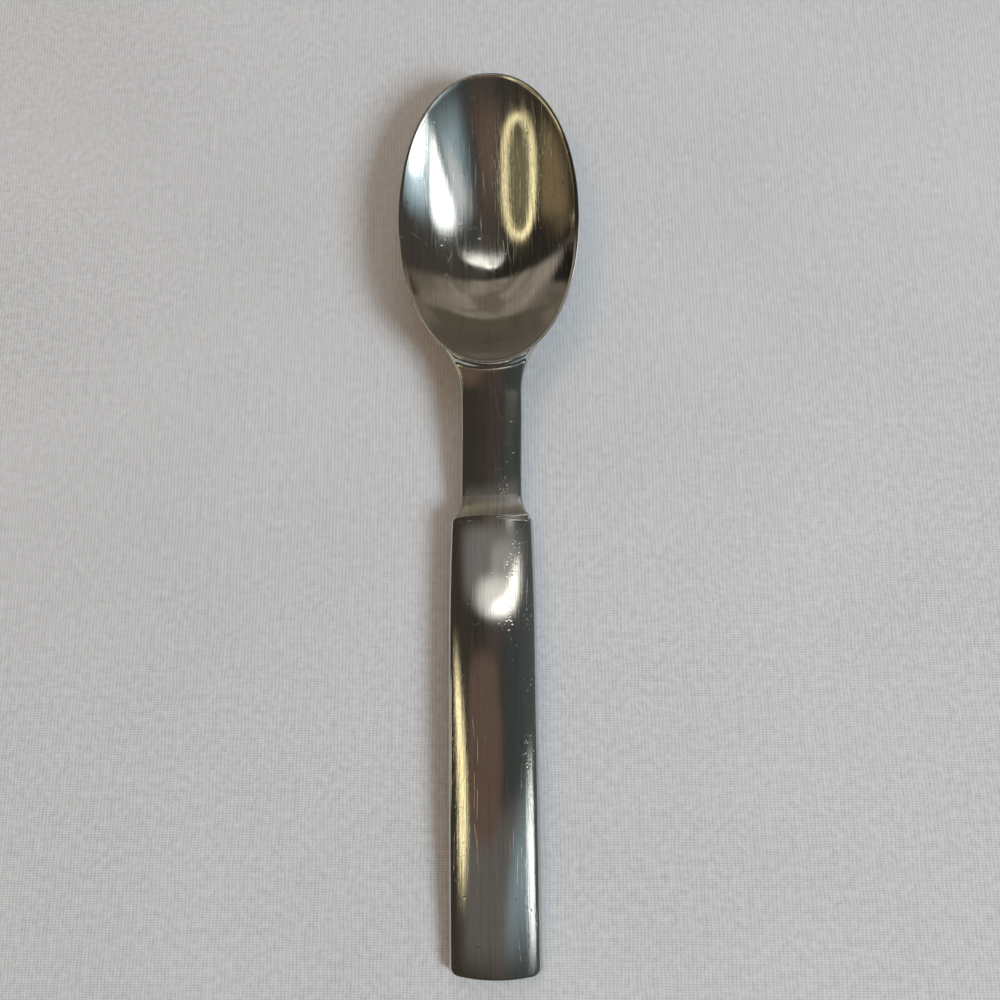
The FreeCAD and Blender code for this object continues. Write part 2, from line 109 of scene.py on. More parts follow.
class SpoonStemSizes(bpy.types.PropertyGroup):
    """Sizes of the neck, shoulder and handle"""

    neck_length: length("Neck length", "Shoulder's edge to the rim at the heel", 30.1)
    neck_width: length("Neck width", "Plain part of the neck", 12.45)
    neck_front: length("Neck at shoulder", "Thickness of the neck at the shoulder", 2.3)
    neck_heel: length("Neck at heel", "Thickness of the neck at the heel", 3.3)
    neck_height: length("Neck height", "Top of the neck at the shoulder", 4.9)
    neck_hollow: length("Neck hollow", "Lengthwise hollow of the neck's top", 0.6)
    neck_crown: length("Neck crown", "Radius across the neck's top", 22.0)
    neck_belly: length("Neck underside", "Radius across the neck's underside", 400.0)
    neck_roll: length("Neck edge", "Radius of the neck's long top edges", 0.8)
    neck_lower_roll: length("Neck lower edge", "Radius of the neck's lower edges", 0.25)
    neck_start: length("Neck start", "How far behind the bar's front the neck starts", 1.5)
    neck_stop: length("Neck stop", "How far beyond the heel the neck ends, inside the wall", 11.0)
    crest_start: length("Crest start", "From the shoulder's foot back to where the neck's rise starts", 1.0)
    crest_gap: length("Crest gap", "Least height of the rim at the heel over the neck's top", 0.5)
    root_gap: length("Root gap", "Least height of the neck's underside over the bowl's outer wall", 0.15)
    root_taper: number("Root taper", "Narrowing of the neck's end inside the wall, on each side", 0.6)
    heel_step: length("Heel step", "Rim above the neck at the heel", 1.25)
    heel_cove: length("Heel cove", "Width of the cove between the neck and the rim", 1.2)
    cove_inset: length("Cove inset", "How far inside the rim's outline the cove ends", 0.5)
    cove_step: length("Cove step", "Rim above the top of the cove", 0.15)
    heel_depth: length("Heel depth", "Rim above the highest part of the neck's underside", 4.3)
    heel_blend: length("Heel blend", "Height over which the undersides blend", 3.0)
    edge_blend: share("Edge blend", "Least share of that blend, at the neck's edges", 0.1)
    flare_radius: length("Flare radius", "Neck widening into the heel, seen from above", 14.5)
    flare_length: length("Flare length", "Length of that widening", 9.3)
    flare_inlay: length("Flare inlay", "Widest part of the neck beyond the heel", 4.1)
    flare_crown: length("Flare crown", "Radius across the top of the widest part", 70.0)
    flare_belly: length("Flare belly", "Radius across the underside of the widest part", 18.0)
    shoulder_run: length("Shoulder length", "Length of the sloping shoulder", 3.9)
    shoulder_rise: length("Shoulder rise", "Rise of the shoulder over the neck's top", 1.3)
    shoulder_reach: number("Shoulder reach", "Lengths of the slope to where it stops inside the bar", 1.2)
    shoulder_spread: length("Shoulder spread", "Growth of the shoulder on each side", 1.55)
    shoulder_skew: number("Shoulder skew", "Slant of the shoulder's foot", 0.1)
    bar_width: length("Handle width", "Bar of the handle", 17.5)
    bar_front_width: length("Handle front width", "Bar of the handle at the shoulder", 16.6)
    bar_taper: length("Handle taper", "Length over which the front narrows", 24.0)
    bar_thickness: length("Handle thickness", "Middle of the bar", 4.0)
    bar_height: length("Handle height", "Top of the bar at the shoulder", 6.45)
    bar_arch: length("Handle arch", "Lengthwise arch of the bar", 1.2)
    bar_crown: length("Handle crown", "Radius across the bar's top", 20.0)
    bar_roll: length("Handle edge", "Radius of the bar's long top edges", 1.6)
    bar_lower_roll: length("Handle lower edge", "Radius of the bar's lower edges", 0.5)
    bar_hollow: length("Handle hollow", "Hollow across the underside, which stands on its corners", 0.1)
    end_lift: length("End lift", "Middle of the underside at the end, above the table", 0.033)
    end_curve: length("End curve", "Radius of the bar's end, seen from above", 54.0)
    end_corner: length("End corner", "Radius of the end's corners, seen from above", 1.3)
    end_roll: length("End edge", "Radius of the end's upper and lower edges", 0.35)
    front_curve: length("Front curve", "Radius of the bar's front, seen from above", 74.0)
    front_corner: length("Front corner", "Radius of the front's corners, seen from above", 0.8)
    front_roll: length("Front edge", "Radius of the front's upper edge", 0.12)


class SpoonSteelLook(bpy.types.PropertyGroup):
    """Finish of the steel, and the painted shade on its shoulder"""

    steel: colour("Steel", "Colour of clean polished steel", (0.62, 0.61, 0.585))
    stain: colour("Stain", "Colour of the faint warm stains", (0.54, 0.50, 0.45))
    # On the shoulder this darkening is painted shade; along the lines and at the pits it is the steel's own
    # dulling.
    dull_and_shade: share("Dull", "Brightness of the steel where lines, pits and the shoulder dull it", 0.55)
    rough: share("Roughness", "Roughness of the polished steel", 0.055)
    least_rough: share("Least roughness", "Roughness of the steel's smoothest spots", 0.045)
    satin: share("Satin", "Added roughness where the steel is worn", 0.10)
    haze: share("Haze", "Added roughness of the rubbed patch behind the shoulder", 0.07)
    relief: length("Relief", "Height of the surface's marks", 0.055)
    grain: share("Grain", "Strength of the fine lengthwise lines", 0.90)
    scratch: share("Scratch", "Strength of the scratches", 0.22)
    pit: number("Pit", "Strength of the pits", 1.2)


class SpoonStageLook(bpy.types.PropertyGroup):
    """Floor, lamps and camera"""

    floor: colour("Floor", "Colour of the floor", (0.505, 0.505, 0.50))
    floor_reach: length("Floor reach", "From the middle of the floor to its sides", 3000.0)
    warp: length("Warp", "Width of one thread along the cloth", 0.73)
    weft: length("Weft", "Width of one thread across the cloth", 0.48)
    contrast: share("Contrast", "Strength of the cloth's light and dark", 0.23)
    backdrop: colour("Backdrop", "Colour behind the floor", (0.47, 0.475, 0.465))
    key: watts("Key", "Power of the cool lamp on the right", 48.0)
    key_colour: colour("Key colour", "Colour of the lamps on the right and beyond", (0.765, 0.88, 1.0))
    fill: watts("Fill", "Power of the warm lamp on the left", 2.2)
    fill_colour: colour("Fill colour", "Colour of the lamp on the left", (1.0, 0.60, 0.36))
    far_light: watts("Far light", "Power of the cool lamp beyond the bowl", 1.2)
    ambient: colour("Ambient", "Light from all around", (0.30, 0.26, 0.21))
    daylight: colour("Daylight", "Colour of the pale cards that the steel mirrors", (0.95, 1.0, 1.0))
    sky: colour("Sky", "Colour of the bluish cards that the steel mirrors", (0.68, 0.90, 1.0))
    glow: colour("Glow", "Colour of the warm cards that the steel mirrors", (1.0, 0.87, 0.50))
    paper: colour("Paper", "Colour of the neutral cards that the steel mirrors", (1.0, 0.98, 0.92))
    copper: colour("Copper", "Colour of the brown cards that the steel mirrors", (1.0, 0.68, 0.54))
    amber: colour("Amber", "Colour of the gold-brown card that the bowl mirrors", (1.0, 0.74, 0.40))
    clay: colour("Clay", "Colour of the grey-brown card that the handle mirrors", (1.0, 0.92, 0.84))
    olive: colour("Olive", "Colour inside the ring that the bowl mirrors", (1.0, 0.88, 0.52))
    camera_place: FloatVectorProperty(
        name="Camera place", description="Where the camera stands", default=(0.0150, -0.0464, 0.2016),
        size=3, subtype="TRANSLATION", unit="LENGTH")
    camera_turn: FloatVectorProperty(
        name="Camera turn", description="Rotation of the camera",
        default=(math.radians(12.58), math.radians(3.95), math.radians(-0.46)), size=3, subtype="EULER")
    camera_lens: number("Lens", "Focal length for a 36 mm sensor", 36.0)


# Objects and nodes


def add_thing(name, data):
    """A new object at the origin."""
    thing = bpy.data.objects.new(name, data)
    bpy.context.scene.collection.objects.link(thing)
    return thing


def new_material(name):
    """A material with its node tree."""
    material = bpy.data.materials.new(name)
    material.use_nodes = True
    return material, material.node_tree


class Term:
    """A socket that can be added, multiplied and so on, each step being one math node."""

    def __init__(self, tree, socket):
        self.tree = tree
        self.socket = socket

    def step(self, operation, *others):
        node = self.tree.nodes.new("ShaderNodeMath")
        node.operation = operation
        for index, value in enumerate((self,) + others):
            plug(self.tree, value, node.inputs[index])
        return Term(self.tree, node.outputs[0])

    def __add__(self, other):
        return self.step("ADD", other)

    __radd__ = __add__

    def __sub__(self, other):
        return self.step("SUBTRACT", other)

    def __rsub__(self, other):
        return self.step("MULTIPLY_ADD", -1.0, other)

    def __mul__(self, other):
        return self.step("MULTIPLY", other)

    def __truediv__(self, other):
        return self.step("DIVIDE", other)

    def __pow__(self, other):
        return self.step("POWER", other)

    def __abs__(self):
        return self.step("ABSOLUTE")


def plug(tree, value, socket):
    """Put a number, a socket or a term into an input."""
    if isinstance(value, Term):
        value = value.socket
    if isinstance(value, bpy.types.NodeSocket):
        tree.links.new(value, socket)
    else:
        socket.default_value = value


def add_node(tree, kind, settings=(), **values):
    """Add a node, set its fields from a dict and its inputs by name, with _ for a space."""
    node = tree.nodes.new(kind)
    for name, value in dict(settings).items():
        setattr(node, name, value)
    for name, value in values.items():
        plug(tree, value, node.inputs[name.replace("_", " ")])
    return node


def new_group(name, kind, inputs, outputs):
    """A node group with named inputs and outputs; returns it with its input terms and output node."""
    tree = bpy.data.node_groups.new(name, kind)
    for label, socket_type, default in inputs:
        socket = tree.interface.new_socket(label, in_out="INPUT", socket_type=socket_type)
        if default is not None:
            socket.default_value = default
    for label, socket_type in outputs:
        tree.interface.new_socket(label, in_out="OUTPUT", socket_type=socket_type)
    start = tree.nodes.new("NodeGroupInput")
    end = tree.nodes.new("NodeGroupOutput")
    terms = {label: Term(tree, start.outputs[label]) for label, socket_type, default in inputs}
    return tree, terms, end


def across_along(tree, vector):
    """X and Y of a vector, as terms."""
    node = add_node(tree, "ShaderNodeSeparateXYZ", Vector=vector)
    return [Term(tree, node.outputs[axis]) for axis in ("X", "Y")]


def noise(tree, vector, scale, detail, **settings):
    """Soft noise round a half, as a term."""
    node = add_node(tree, "ShaderNodeTexNoise", Vector=vector, Scale=scale, Detail=detail, **settings)
    return Term(tree, node.outputs[0])


def rise(value, start, stop):
    """0 at the start and 1 at the stop, with a smooth way between; the start may be the higher one."""
    node = add_node(value.tree, "ShaderNodeMapRange", {"interpolation_type": "SMOOTHSTEP"})
    for name, amount in (("Value", value), ("From Min", start), ("From Max", stop)):
        plug(value.tree, amount, node.inputs[name])
    return Term(value.tree, node.outputs[0])


def mix_colour(tree, mask, below, above):
    """The colour below where the mask is 0 and the one above where it is 1."""
    node = add_node(tree, "ShaderNodeMix", {"data_type": "RGBA"})
    plug(tree, mask, node.inputs[0])
    colours = [socket for socket in node.inputs if socket.type == "RGBA"]
    for socket, value in zip(colours, (below, above)):
        plug(tree, value if isinstance(value, bpy.types.NodeSocket) else (*value, 1.0), socket)
    return [socket for socket in node.outputs if socket.type == "RGBA"][0]


# Bowl, built by a geometry node tree from its rule

BOWL_INPUTS = [
    ("Width", "width"), ("Length", "length"), ("Fullness", "fullness"), ("Tip to Deepest", "tip_to_deepest"),
    ("Slope", "slope"), ("Rim at Tip", "rim_tip"), ("Rim at Heel", "rim_heel"), ("Rim Sag", "rim_sag"),
]
RIM_ROWS = 9
WELD_DISTANCE = 0.002 * MM


def bowl_point_group():
    """Group that gives a point of the bowl from its angle and its share of the way out to the rim."""
    sizes = [(label, "NodeSocketFloat", 1.0) for label, field in BOWL_INPUTS]
    places = [(label, "NodeSocketFloat", 0.0) for label in ("Tip Y", "Angle", "Share", "Inset", "Floor")]
    tree, term, end = new_group(
        "Bowl point", "GeometryNodeTree", sizes + places, [("Point", "NodeSocketVector")])
    power = term["Fullness"] ** -1.0 * 2.0
    cosine = term["Angle"].step("COSINE")
    sine = term["Angle"].step("SINE")
    across = cosine.step("SIGN") * abs(cosine) ** power
    along = sine.step("SIGN") * abs(sine) ** power
    middle = term["Tip Y"] - term["Length"] / 2.0
    deepest = term["Tip Y"] - term["Tip to Deepest"]
    edge_x = across * (term["Width"] / 2.0 - term["Inset"])
    edge_y = middle + along * (term["Length"] / 2.0 - term["Inset"])
    x = term["Share"] * edge_x
    y = deepest + term["Share"] * (edge_y - deepest)
    part = (y - term["Tip Y"]) / term["Length"] + 1.0
    level = term["Rim at Heel"] + (term["Rim at Tip"] - term["Rim at Heel"]) * part
    rim = level - term["Rim Sag"] * part * (1.0 - part) * 4.0
    z = term["Floor"] + (rim - term["Floor"]) * term["Share"] ** term["Slope"]
    point = add_node(tree, "ShaderNodeCombineXYZ", X=x, Y=y, Z=z)
    plug(tree, point.outputs[0], end.inputs["Point"])
    return tree


def bowl_tree():
    """Geometry node tree of the whole bowl: inner wall, rounded rim and outer wall."""
    inputs = [(label, "NodeSocketFloat", 1.0) for label, field in BOWL_INPUTS]
    for label in ("Tip Y", "Floor", "Land", "Rim Rounding", "Twist", "Shift"):
        inputs.append((label, "NodeSocketFloat", 0.0))
    inputs += [("Around", "NodeSocketInt", 64), ("Rings", "NodeSocketInt", 24)]
    inputs.append(("Material", "NodeSocketMaterial", None))
    tree, term, end = new_group("Bowl", "GeometryNodeTree", inputs, [("Geometry", "NodeSocketGeometry")])
    group = bowl_point_group()
    position = add_node(tree, "GeometryNodeInputPosition")
    grid_x, grid_y = across_along(tree, position.outputs[0])
    angle = (grid_x + 0.5) * (2.0 * math.pi)
    outward = grid_y + 0.5
    last_share = 1.0 - term["Rim Rounding"] / (term["Width"] / 2.0)

    def point(way, inset, floor):
        node = add_node(tree, "GeometryNodeGroup", {"node_tree": group},
                        Angle=angle, Share=way, Inset=inset, Floor=floor)
        for label in [label for label, field in BOWL_INPUTS] + ["Tip Y"]:
            plug(tree, term[label], node.inputs[label])
        return node.outputs["Point"]

    def between(first, second):
        mix = add_node(tree, "ShaderNodeMix", {"data_type": "VECTOR"})
        plug(tree, outward, mix.inputs["Factor"])
        vectors = [socket for socket in mix.inputs if socket.type == "VECTOR" and socket.enabled]
        plug(tree, first, vectors[-2])
        plug(tree, second, vectors[-1])
        return [socket for socket in mix.outputs if socket.type == "VECTOR"][0]

    def sheet(rows, place, flip):
        grid = add_node(tree, "GeometryNodeMeshGrid", Size_X=1.0, Size_Y=1.0,
                        Vertices_X=term["Around"] + 1.0, Vertices_Y=rows)
        moved = add_node(tree, "GeometryNodeSetPosition", Geometry=grid.outputs["Mesh"], Position=place)
        if not flip:
            return moved.outputs[0]
        return add_node(tree, "GeometryNodeFlipFaces", Mesh=moved.outputs[0]).outputs[0]

    inner = point(outward * last_share, term["Land"], term["Floor"])
    outer = point(outward * last_share, 0.0, 0.0)
    # The rim is a Bezier curve of four control points, the two in the middle a little past the outline
    beyond = 1.5 - last_share * 0.5
    controls = [
        point(last_share, term["Land"], term["Floor"]), point(beyond, term["Land"], term["Floor"]),
        point(beyond, 0.0, 0.0), point(last_share, 0.0, 0.0)]
    while len(controls) > 1:
        controls = [between(first, second) for first, second in zip(controls, controls[1:])]
    join = add_node(tree, "GeometryNodeJoinGeometry")
    sheets = ((term["Rings"], inner, False), (RIM_ROWS, controls[0], False), (term["Rings"], outer, True))
    for rows, place, flip in sheets:
        plug(tree, sheet(rows, place, flip), join.inputs[0])
    merged = add_node(
        tree, "GeometryNodeMergeByDistance", Geometry=join.outputs[0], Distance=WELD_DISTANCE)
    centre = add_node(tree, "ShaderNodeCombineXYZ", Y=term["Tip Y"] - term["Length"] / 2.0)
    turned = add_node(tree, "ShaderNodeVectorRotate", {"rotation_type": "Z_AXIS"},
                      Vector=add_node(tree, "GeometryNodeInputPosition").outputs[0],
                      Center=centre.outputs[0], Angle=term["Twist"])
    offset = add_node(tree, "ShaderNodeCombineXYZ", X=term["Shift"])
    settled = add_node(tree, "GeometryNodeSetPosition", Geometry=merged.outputs[0],
                       Position=turned.outputs[0], Offset=offset.outputs[0])
    smooth = add_node(tree, "GeometryNodeSetShadeSmooth", Geometry=settled.outputs[0])
    real = add_node(tree, "GeometryNodeRealizeInstances", Geometry=smooth.outputs[0])
    painted = add_node(tree, "GeometryNodeSetMaterial", Geometry=real.outputs[0], Material=term["Material"])
    plug(tree, painted.outputs[0], end.inputs["Geometry"])
    return tree


def node_mesh(name, tree, values):
    """Run a geometry node tree with the given inputs and keep its result as a plain mesh object."""
    carrier = add_thing(name, bpy.data.meshes.new(name + "_start"))
    modifier = carrier.modifiers.new(name, "NODES")
    modifier.node_group = tree
    for item in tree.interface.items_tree:
        if item.item_type == "SOCKET" and item.in_out == "INPUT":
            modifier[item.identifier] = values[item.name]
    graph = bpy.context.evaluated_depsgraph_get()
    mesh = bpy.data.meshes.new_from_object(carrier.evaluated_get(graph))
    mesh.name = name
    carrier.modifiers.remove(modifier)
    carrier.data = mesh
    return carrier


# Surfaces of the spoon as formulas

OUTLINE_HALVINGS = 36
WIDEST_SHARE = 4.0


def clamp(value):
    return min(1.0, max(0.0, value))


def smooth_step(value):
    part = clamp(value)
    return part * part * (3.0 - 2.0 * part)


def soft_min(first, second, blend):
    """The lower of two heights, rounded where they differ by less than the blend."""
    closeness = max(0.0, 1.0 - abs(first - second) / blend)
    return min(first, second) - blend / 4.0 * closeness ** 2


def bulge(radius, offset):
    """Depth of an arc of the radius at a sideways offset from its crest."""
    return radius - math.sqrt(max(0.0, radius ** 2 - offset ** 2))


def bow(part):
    """Height of a bow that is 0 at parts 0 and 1 and 1 in the middle."""
    return 4.0 * part * (1.0 - part)


class Plan:
    """Lengthwise places and the surfaces of the spoon, worked out from its sizes."""

    def __init__(self, bowl, stem, overall):
        self.bowl = bowl
        self.stem = stem
        self.tip = overall / 2.0
        self.end = -overall / 2.0
        self.heel = self.tip - bowl.length
        self.middle = self.tip - bowl.length / 2.0
        self.deepest = self.tip - bowl.tip_to_deepest
        self.front = self.heel - stem.neck_length
        self.foot = self.front + stem.shoulder_run
        self.flare_end = self.heel + stem.flare_inlay
        self.flare = self.flare_end - stem.flare_length
        self.bar_length = self.front - self.end

    def outline_share(self, x, y, inset):
        """Share of the way from the deepest point out to the rim outline, found by halving."""
        half_width = self.bowl.width / 2.0 - inset
        half_length = self.bowl.length / 2.0 - inset
        low = 0.0
        high = WIDEST_SHARE
        for halving in range(OUTLINE_HALVINGS):
            guess = (low + high) / 2.0
            across = abs(x) / (guess * half_width)
            along = abs((y - self.deepest) / guess + self.deepest - self.middle) / half_length
            if across ** self.bowl.fullness + along ** self.bowl.fullness > 1.0:
                low = guess
            else:
                high = guess
        return (low + high) / 2.0

    def rim(self, y):
        part = (y - self.heel) / self.bowl.length
        level = self.bowl.rim_heel * (1.0 - part) + self.bowl.rim_tip * part
        return level - self.bowl.rim_sag * bow(part)

    def outer_wall(self, x, y):
        return self.rim(y) * self.outline_share(x, y, 0.0) ** self.bowl.slope

    def inner_wall(self, x, y):
        rise = self.outline_share(x, y, self.bowl.land) ** self.bowl.slope
        return self.bowl.floor + (self.rim(y) - self.bowl.floor) * rise

    def flare_part(self, y):
        return smooth_step((y - self.flare) / self.stem.flare_length)

    def crest(self, y):
        """Height of the neck's top on its middle line."""
        start = self.foot - self.stem.crest_start
        part = (y - start) / (self.heel - start)
        high = self.bowl.rim_heel - self.stem.heel_step
        level = self.stem.neck_height * (1.0 - part) + high * part
        return min(level - self.stem.neck_hollow * bow(part), self.bowl.rim_heel - self.stem.crest_gap)

    def growth(self, x, y):
        """Rise of the shoulder over the neck."""
        part = max(0.0, (self.foot + self.stem.shoulder_skew * x - y) / self.stem.shoulder_run)
        return self.stem.shoulder_rise * min(part, self.stem.shoulder_reach) ** 2

    def bar_top(self, x, y):
        return self.bar_base(y) + self.stem.bar_thickness - x ** 2 / 2.0 / self.stem.bar_crown

    def neck_top(self, x, y):
        return self.crest(y) - x ** 2 / 2.0 / self.stem.neck_crown

    def neck_crown(self, y):
        """Radius across the neck's top."""
        flare = self.flare_part(y)
        return 1.0 / ((1.0 - flare) / self.stem.neck_crown + flare / self.stem.flare_crown)

    def neck_belly(self, y):
        """Radius across the neck's underside."""
        flare = self.flare_part(y)
        return 1.0 / ((1.0 - flare) / self.stem.neck_belly + flare / self.stem.flare_belly)

    def neck_base(self, y):
        """Height of the neck's underside on its middle line."""
        part = clamp((y - self.foot) / (self.heel - self.foot))
        thickness = self.stem.neck_front * (1.0 - part) + self.stem.neck_heel * part
        return min(self.crest(y) - thickness, self.bowl.rim_heel - self.stem.heel_depth)

    def widest_half(self):
        """Half the width of the neck where it is widest, inside the heel."""
        return self.stem.neck_width / 2.0 + bulge(self.stem.flare_radius, self.stem.flare_length)

    def neck_half(self, y):
        """Half the width of the neck and the shoulder."""
        half = self.stem.neck_width / 2.0
        if y > self.flare_end:
            return self.widest_half() - (y - self.flare_end) * self.stem.root_taper
        if y > self.flare:
            return half + bulge(self.stem.flare_radius, y - self.flare)
        run = self.stem.shoulder_run
        spread = self.stem.shoulder_spread
        radius = (run ** 2 + spread ** 2) / (2.0 * spread)
        return half + bulge(radius, min(run, max(0.0, self.foot - y)))

    def cove_lift(self, x, y, plain):
        """Rise of the neck's top into the rim, kept within the bowl's wall."""
        outside = (self.outline_share(x, y, 0.0) - 1.0) * self.bowl.length / 2.0
        width = self.stem.heel_cove + self.stem.cove_inset
        cove = smooth_step((self.stem.heel_cove - outside) / width)
        top = plain + cove * max(0.0, self.rim(y) - self.stem.cove_step - plain)
        if outside < 0.0:
            top = min(top, (self.outer_wall(x, y) + self.inner_wall(x, y)) / 2.0)
        return top - plain

    def heel_sink(self, x, y, plain):
        """Blend of the neck's underside into the bowl's."""
        inward = 1.0 - (x / self.widest_half()) ** 2
        blend = self.stem.heel_blend * max(self.stem.edge_blend, inward)
        return soft_min(plain, self.outer_wall(x, y) + self.stem.root_gap, blend) - plain

    def bar_half(self, y):
        """Half the width of the bar, narrowing towards the shoulder."""
        narrowing = (self.stem.bar_width - self.stem.bar_front_width) / 2.0
        radius = (self.stem.bar_taper ** 2 + narrowing ** 2) / (2.0 * narrowing)
        return self.stem.bar_width / 2.0 - bulge(radius, max(0.0, y - self.front + self.stem.bar_taper))

    def bar_base(self, y):
        """Height of the bar's underside on its middle line."""
        part = (y - self.end) / self.bar_length
        high = self.stem.bar_height - self.stem.bar_thickness
        return self.stem.end_lift * (1.0 - part) + high * part + self.stem.bar_arch * bow(part)


# Neck, shoulder and handle, built as rows of cross-sections

BELLY_STEPS = 8
LOWER_STEPS = 6
SIDE_STEPS = 3
UPPER_STEPS = 12
TOP_STEPS = 16
CROWDED_ROWS = 12
BAR_ROW_STEP = 1.1 * MM
NECK_ROWS = 150
LEAST_HEIGHT = 0.2 * MM

# Sizes of the shrinking rows that close the bar's ends, and their height as a share of its thickness
CAP_SIZES = (0.02, 0.35, 0.7, 0.9)
CAP_LEVEL = 0.4


def section(half, crown, thickness, roll, belly, lower_roll):
    """Cross-section as (x, z) points, from the middle of the underside round by the right."""
    reach = half - lower_roll
    points = []
    for step in range(BELLY_STEPS + 1):
        x = reach * step / BELLY_STEPS
        points.append((x, x ** 2 / 2.0 / belly))
    low = reach ** 2 / 2.0 / belly + lower_roll
    for step in range(1, LOWER_STEPS + 1):
        turn = math.pi / 2 * step / LOWER_STEPS
        points.append((reach + lower_roll * math.sin(turn), low - lower_roll * math.cos(turn)))
    # The upper edge's arc touches the crown at an x that a few rounds settle
    touch = half - roll
    for settling in range(4):
        touch = (half - roll) / (1.0 - roll / crown / math.hypot(1.0, touch / crown))
    lean = math.atan(touch / crown)
    centre_x = half - roll
    centre_z = thickness - touch ** 2 / 2.0 / crown - roll * math.cos(lean)
    for step in range(1, SIDE_STEPS):
        points.append((half, low + (centre_z - low) * step / SIDE_STEPS))
    for step in range(UPPER_STEPS + 1):
        turn = math.pi / 2 + (lean - math.pi / 2) * step / UPPER_STEPS
        points.append((centre_x + roll * math.sin(turn), centre_z + roll * math.cos(turn)))
    for step in range(1, TOP_STEPS + 1):
        x = touch * (1.0 - step / TOP_STEPS)
        points.append((x, thickness - x ** 2 / 2.0 / crown))
    return points + [(-x, z) for x, z in points[-2:0:-1]]


def tube_faces(count, last):
    """Faces between loops of as many points each, up to the loop that starts with the last index."""
    faces = []
    for here in range(0, last, count):
        there = here + count
        for index in range(count):
            after = (index + 1) % count
            faces.append((here + index, here + after, there + after, there + index))
    return faces


def loft(name, rows, material):
    """Mesh through rows of points, each a closed loop, shut at both ends by a small face."""
    verts = [point for row in rows for point in row]
    count = len(rows[0])
    last = len(verts) - count
    faces = tube_faces(count, last)
    faces.append(tuple(range(count))[::-1])
    faces.append(tuple(range(last, last + count)))
    mesh = bpy.data.meshes.new(name)
    mesh.from_pydata(verts, [], faces)
    mesh.materials.append(material)
    mesh.polygons.foreach_set("use_smooth", [True] * len(mesh.polygons))
    mesh.update()
    if mesh_volume(mesh) < 0.0:
        mesh.flip_normals()
    return add_thing(name, mesh)


def mesh_volume(mesh):
    """Volume inside a closed mesh, below 0 where its faces point inwards."""
    mesh.calc_loop_triangles()
    triangles = [[mesh.vertices[index].co for index in face.vertices] for face in mesh.loop_triangles]
    return sum(a.dot(b.cross(c)) for a, b, c in triangles) / 6.0


def spread_rows(whole, fine_start, fine_end, step):
    """Distances from 0 to the whole length, crowded over a short stretch at each end."""
    plain = whole - fine_start - fine_end
    count = max(2, round(plain / step))
    crowded = [1.0 - math.cos(math.pi / 2 * index / CROWDED_ROWS) for index in range(CROWDED_ROWS)]
    rows = [fine_start * part for part in crowded]
    rows += [fine_start + plain * index / count for index in range(count + 1)]
    rows += [whole - fine_end * part for part in crowded[::-1]]
    return rows


def bar_rows(plan):
    """Cross-sections of the handle's bar, with both ends curved, cornered and closed."""
    stem = plan.stem
    open_rows = spread_rows(plan.bar_length, stem.end_corner, stem.front_corner, BAR_ROW_STEP)
    places = [(0.0, size) for size in CAP_SIZES]
    places += [(place, 1.0) for place in open_rows]
    places += [(plan.bar_length, size) for size in CAP_SIZES[::-1]]
    rows = []
    for place, size in places:
        to_front = plan.bar_length - place
        along = place / plan.bar_length
        half = plan.bar_half(plan.end + place)
        half -= bulge(stem.end_corner, max(0.0, stem.end_corner - place))
        half -= bulge(stem.front_corner, max(0.0, stem.front_corner - to_front))
        drop = bulge(stem.end_roll, max(0.0, stem.end_roll - place))
        drop += bulge(stem.front_roll, max(0.0, stem.front_roll - to_front))
        thickness = stem.bar_thickness - 2.0 * drop
        belly = -half ** 2 / (2.0 * stem.bar_hollow)
        row = []
        for x, z in section(half, stem.bar_crown, thickness, stem.bar_roll, belly, stem.bar_lower_roll):
            x *= size
            z = drop + z * size + (1.0 - size) * stem.bar_thickness * CAP_LEVEL
            y = plan.end + place
            y += (1.0 - along) * bulge(stem.end_curve, x) - along * bulge(stem.front_curve, x)
            row.append((x, y, plan.bar_base(y) + z))
        rows.append(row)
    return rows


def neck_rows(plan):
    """Cross-sections of the neck and shoulder, from inside the bar to inside the bowl's wall."""
    stem = plan.stem
    rows = []
    start = plan.front - stem.neck_start
    stop = plan.heel + stem.neck_stop
    for index in range(NECK_ROWS + 1):
        y = start + (stop - start) * index / NECK_ROWS
        base = plan.neck_base(y)
        crown = plan.neck_crown(y)
        belly = plan.neck_belly(y)
        thickness = plan.crest(y) - base
        settled = smooth_step((y - plan.foot) / (plan.heel - plan.foot))
        turn = plan.bowl.twist * settled
        away = y - plan.middle
        row = []
        for x, z in section(plan.neck_half(y), crown, thickness, stem.neck_roll, belly, stem.neck_lower_roll):
            top = thickness - x ** 2 / 2.0 / crown
            bottom = x ** 2 / 2.0 / belly
            part = clamp((z - bottom) / max(top - bottom, LEAST_HEIGHT))
            lift = plan.growth(x, y)
            sink = 0.0
            if y > plan.flare:
                lift += plan.cove_lift(x, y, base + top)
                sink = plan.heel_sink(x, y, base + bottom)
            turned_x = x * math.cos(turn) - away * math.sin(turn) + plan.bowl.shift * settled
            turned_y = plan.middle + x * math.sin(turn) + away * math.cos(turn)
            row.append((turned_x, turned_y, base + z + part * lift + (1.0 - part) * sink))
        rows.append(row)
    return rows


# Steel

# Places in millimetres: the pits across and along, and the stretches of the shoulder and the bar's front
PIT_PLACES = [
    (2.6, -0.5), (4.7, -12.0), (3.9, -16.0), (3.7, -27.5),
    (7.2, -26.0), (4.4, -33.0), (7.0, -38.0), (7.1, -52.0)]
PIT_CORE = 1.0
PIT_REACH = 2.6
SHOULDER = (-5.6, -1.2)
SHOULDER_EDGE = 0.4
FRONT = (-30.0, -9.0)
FRONT_EDGE = 5.0

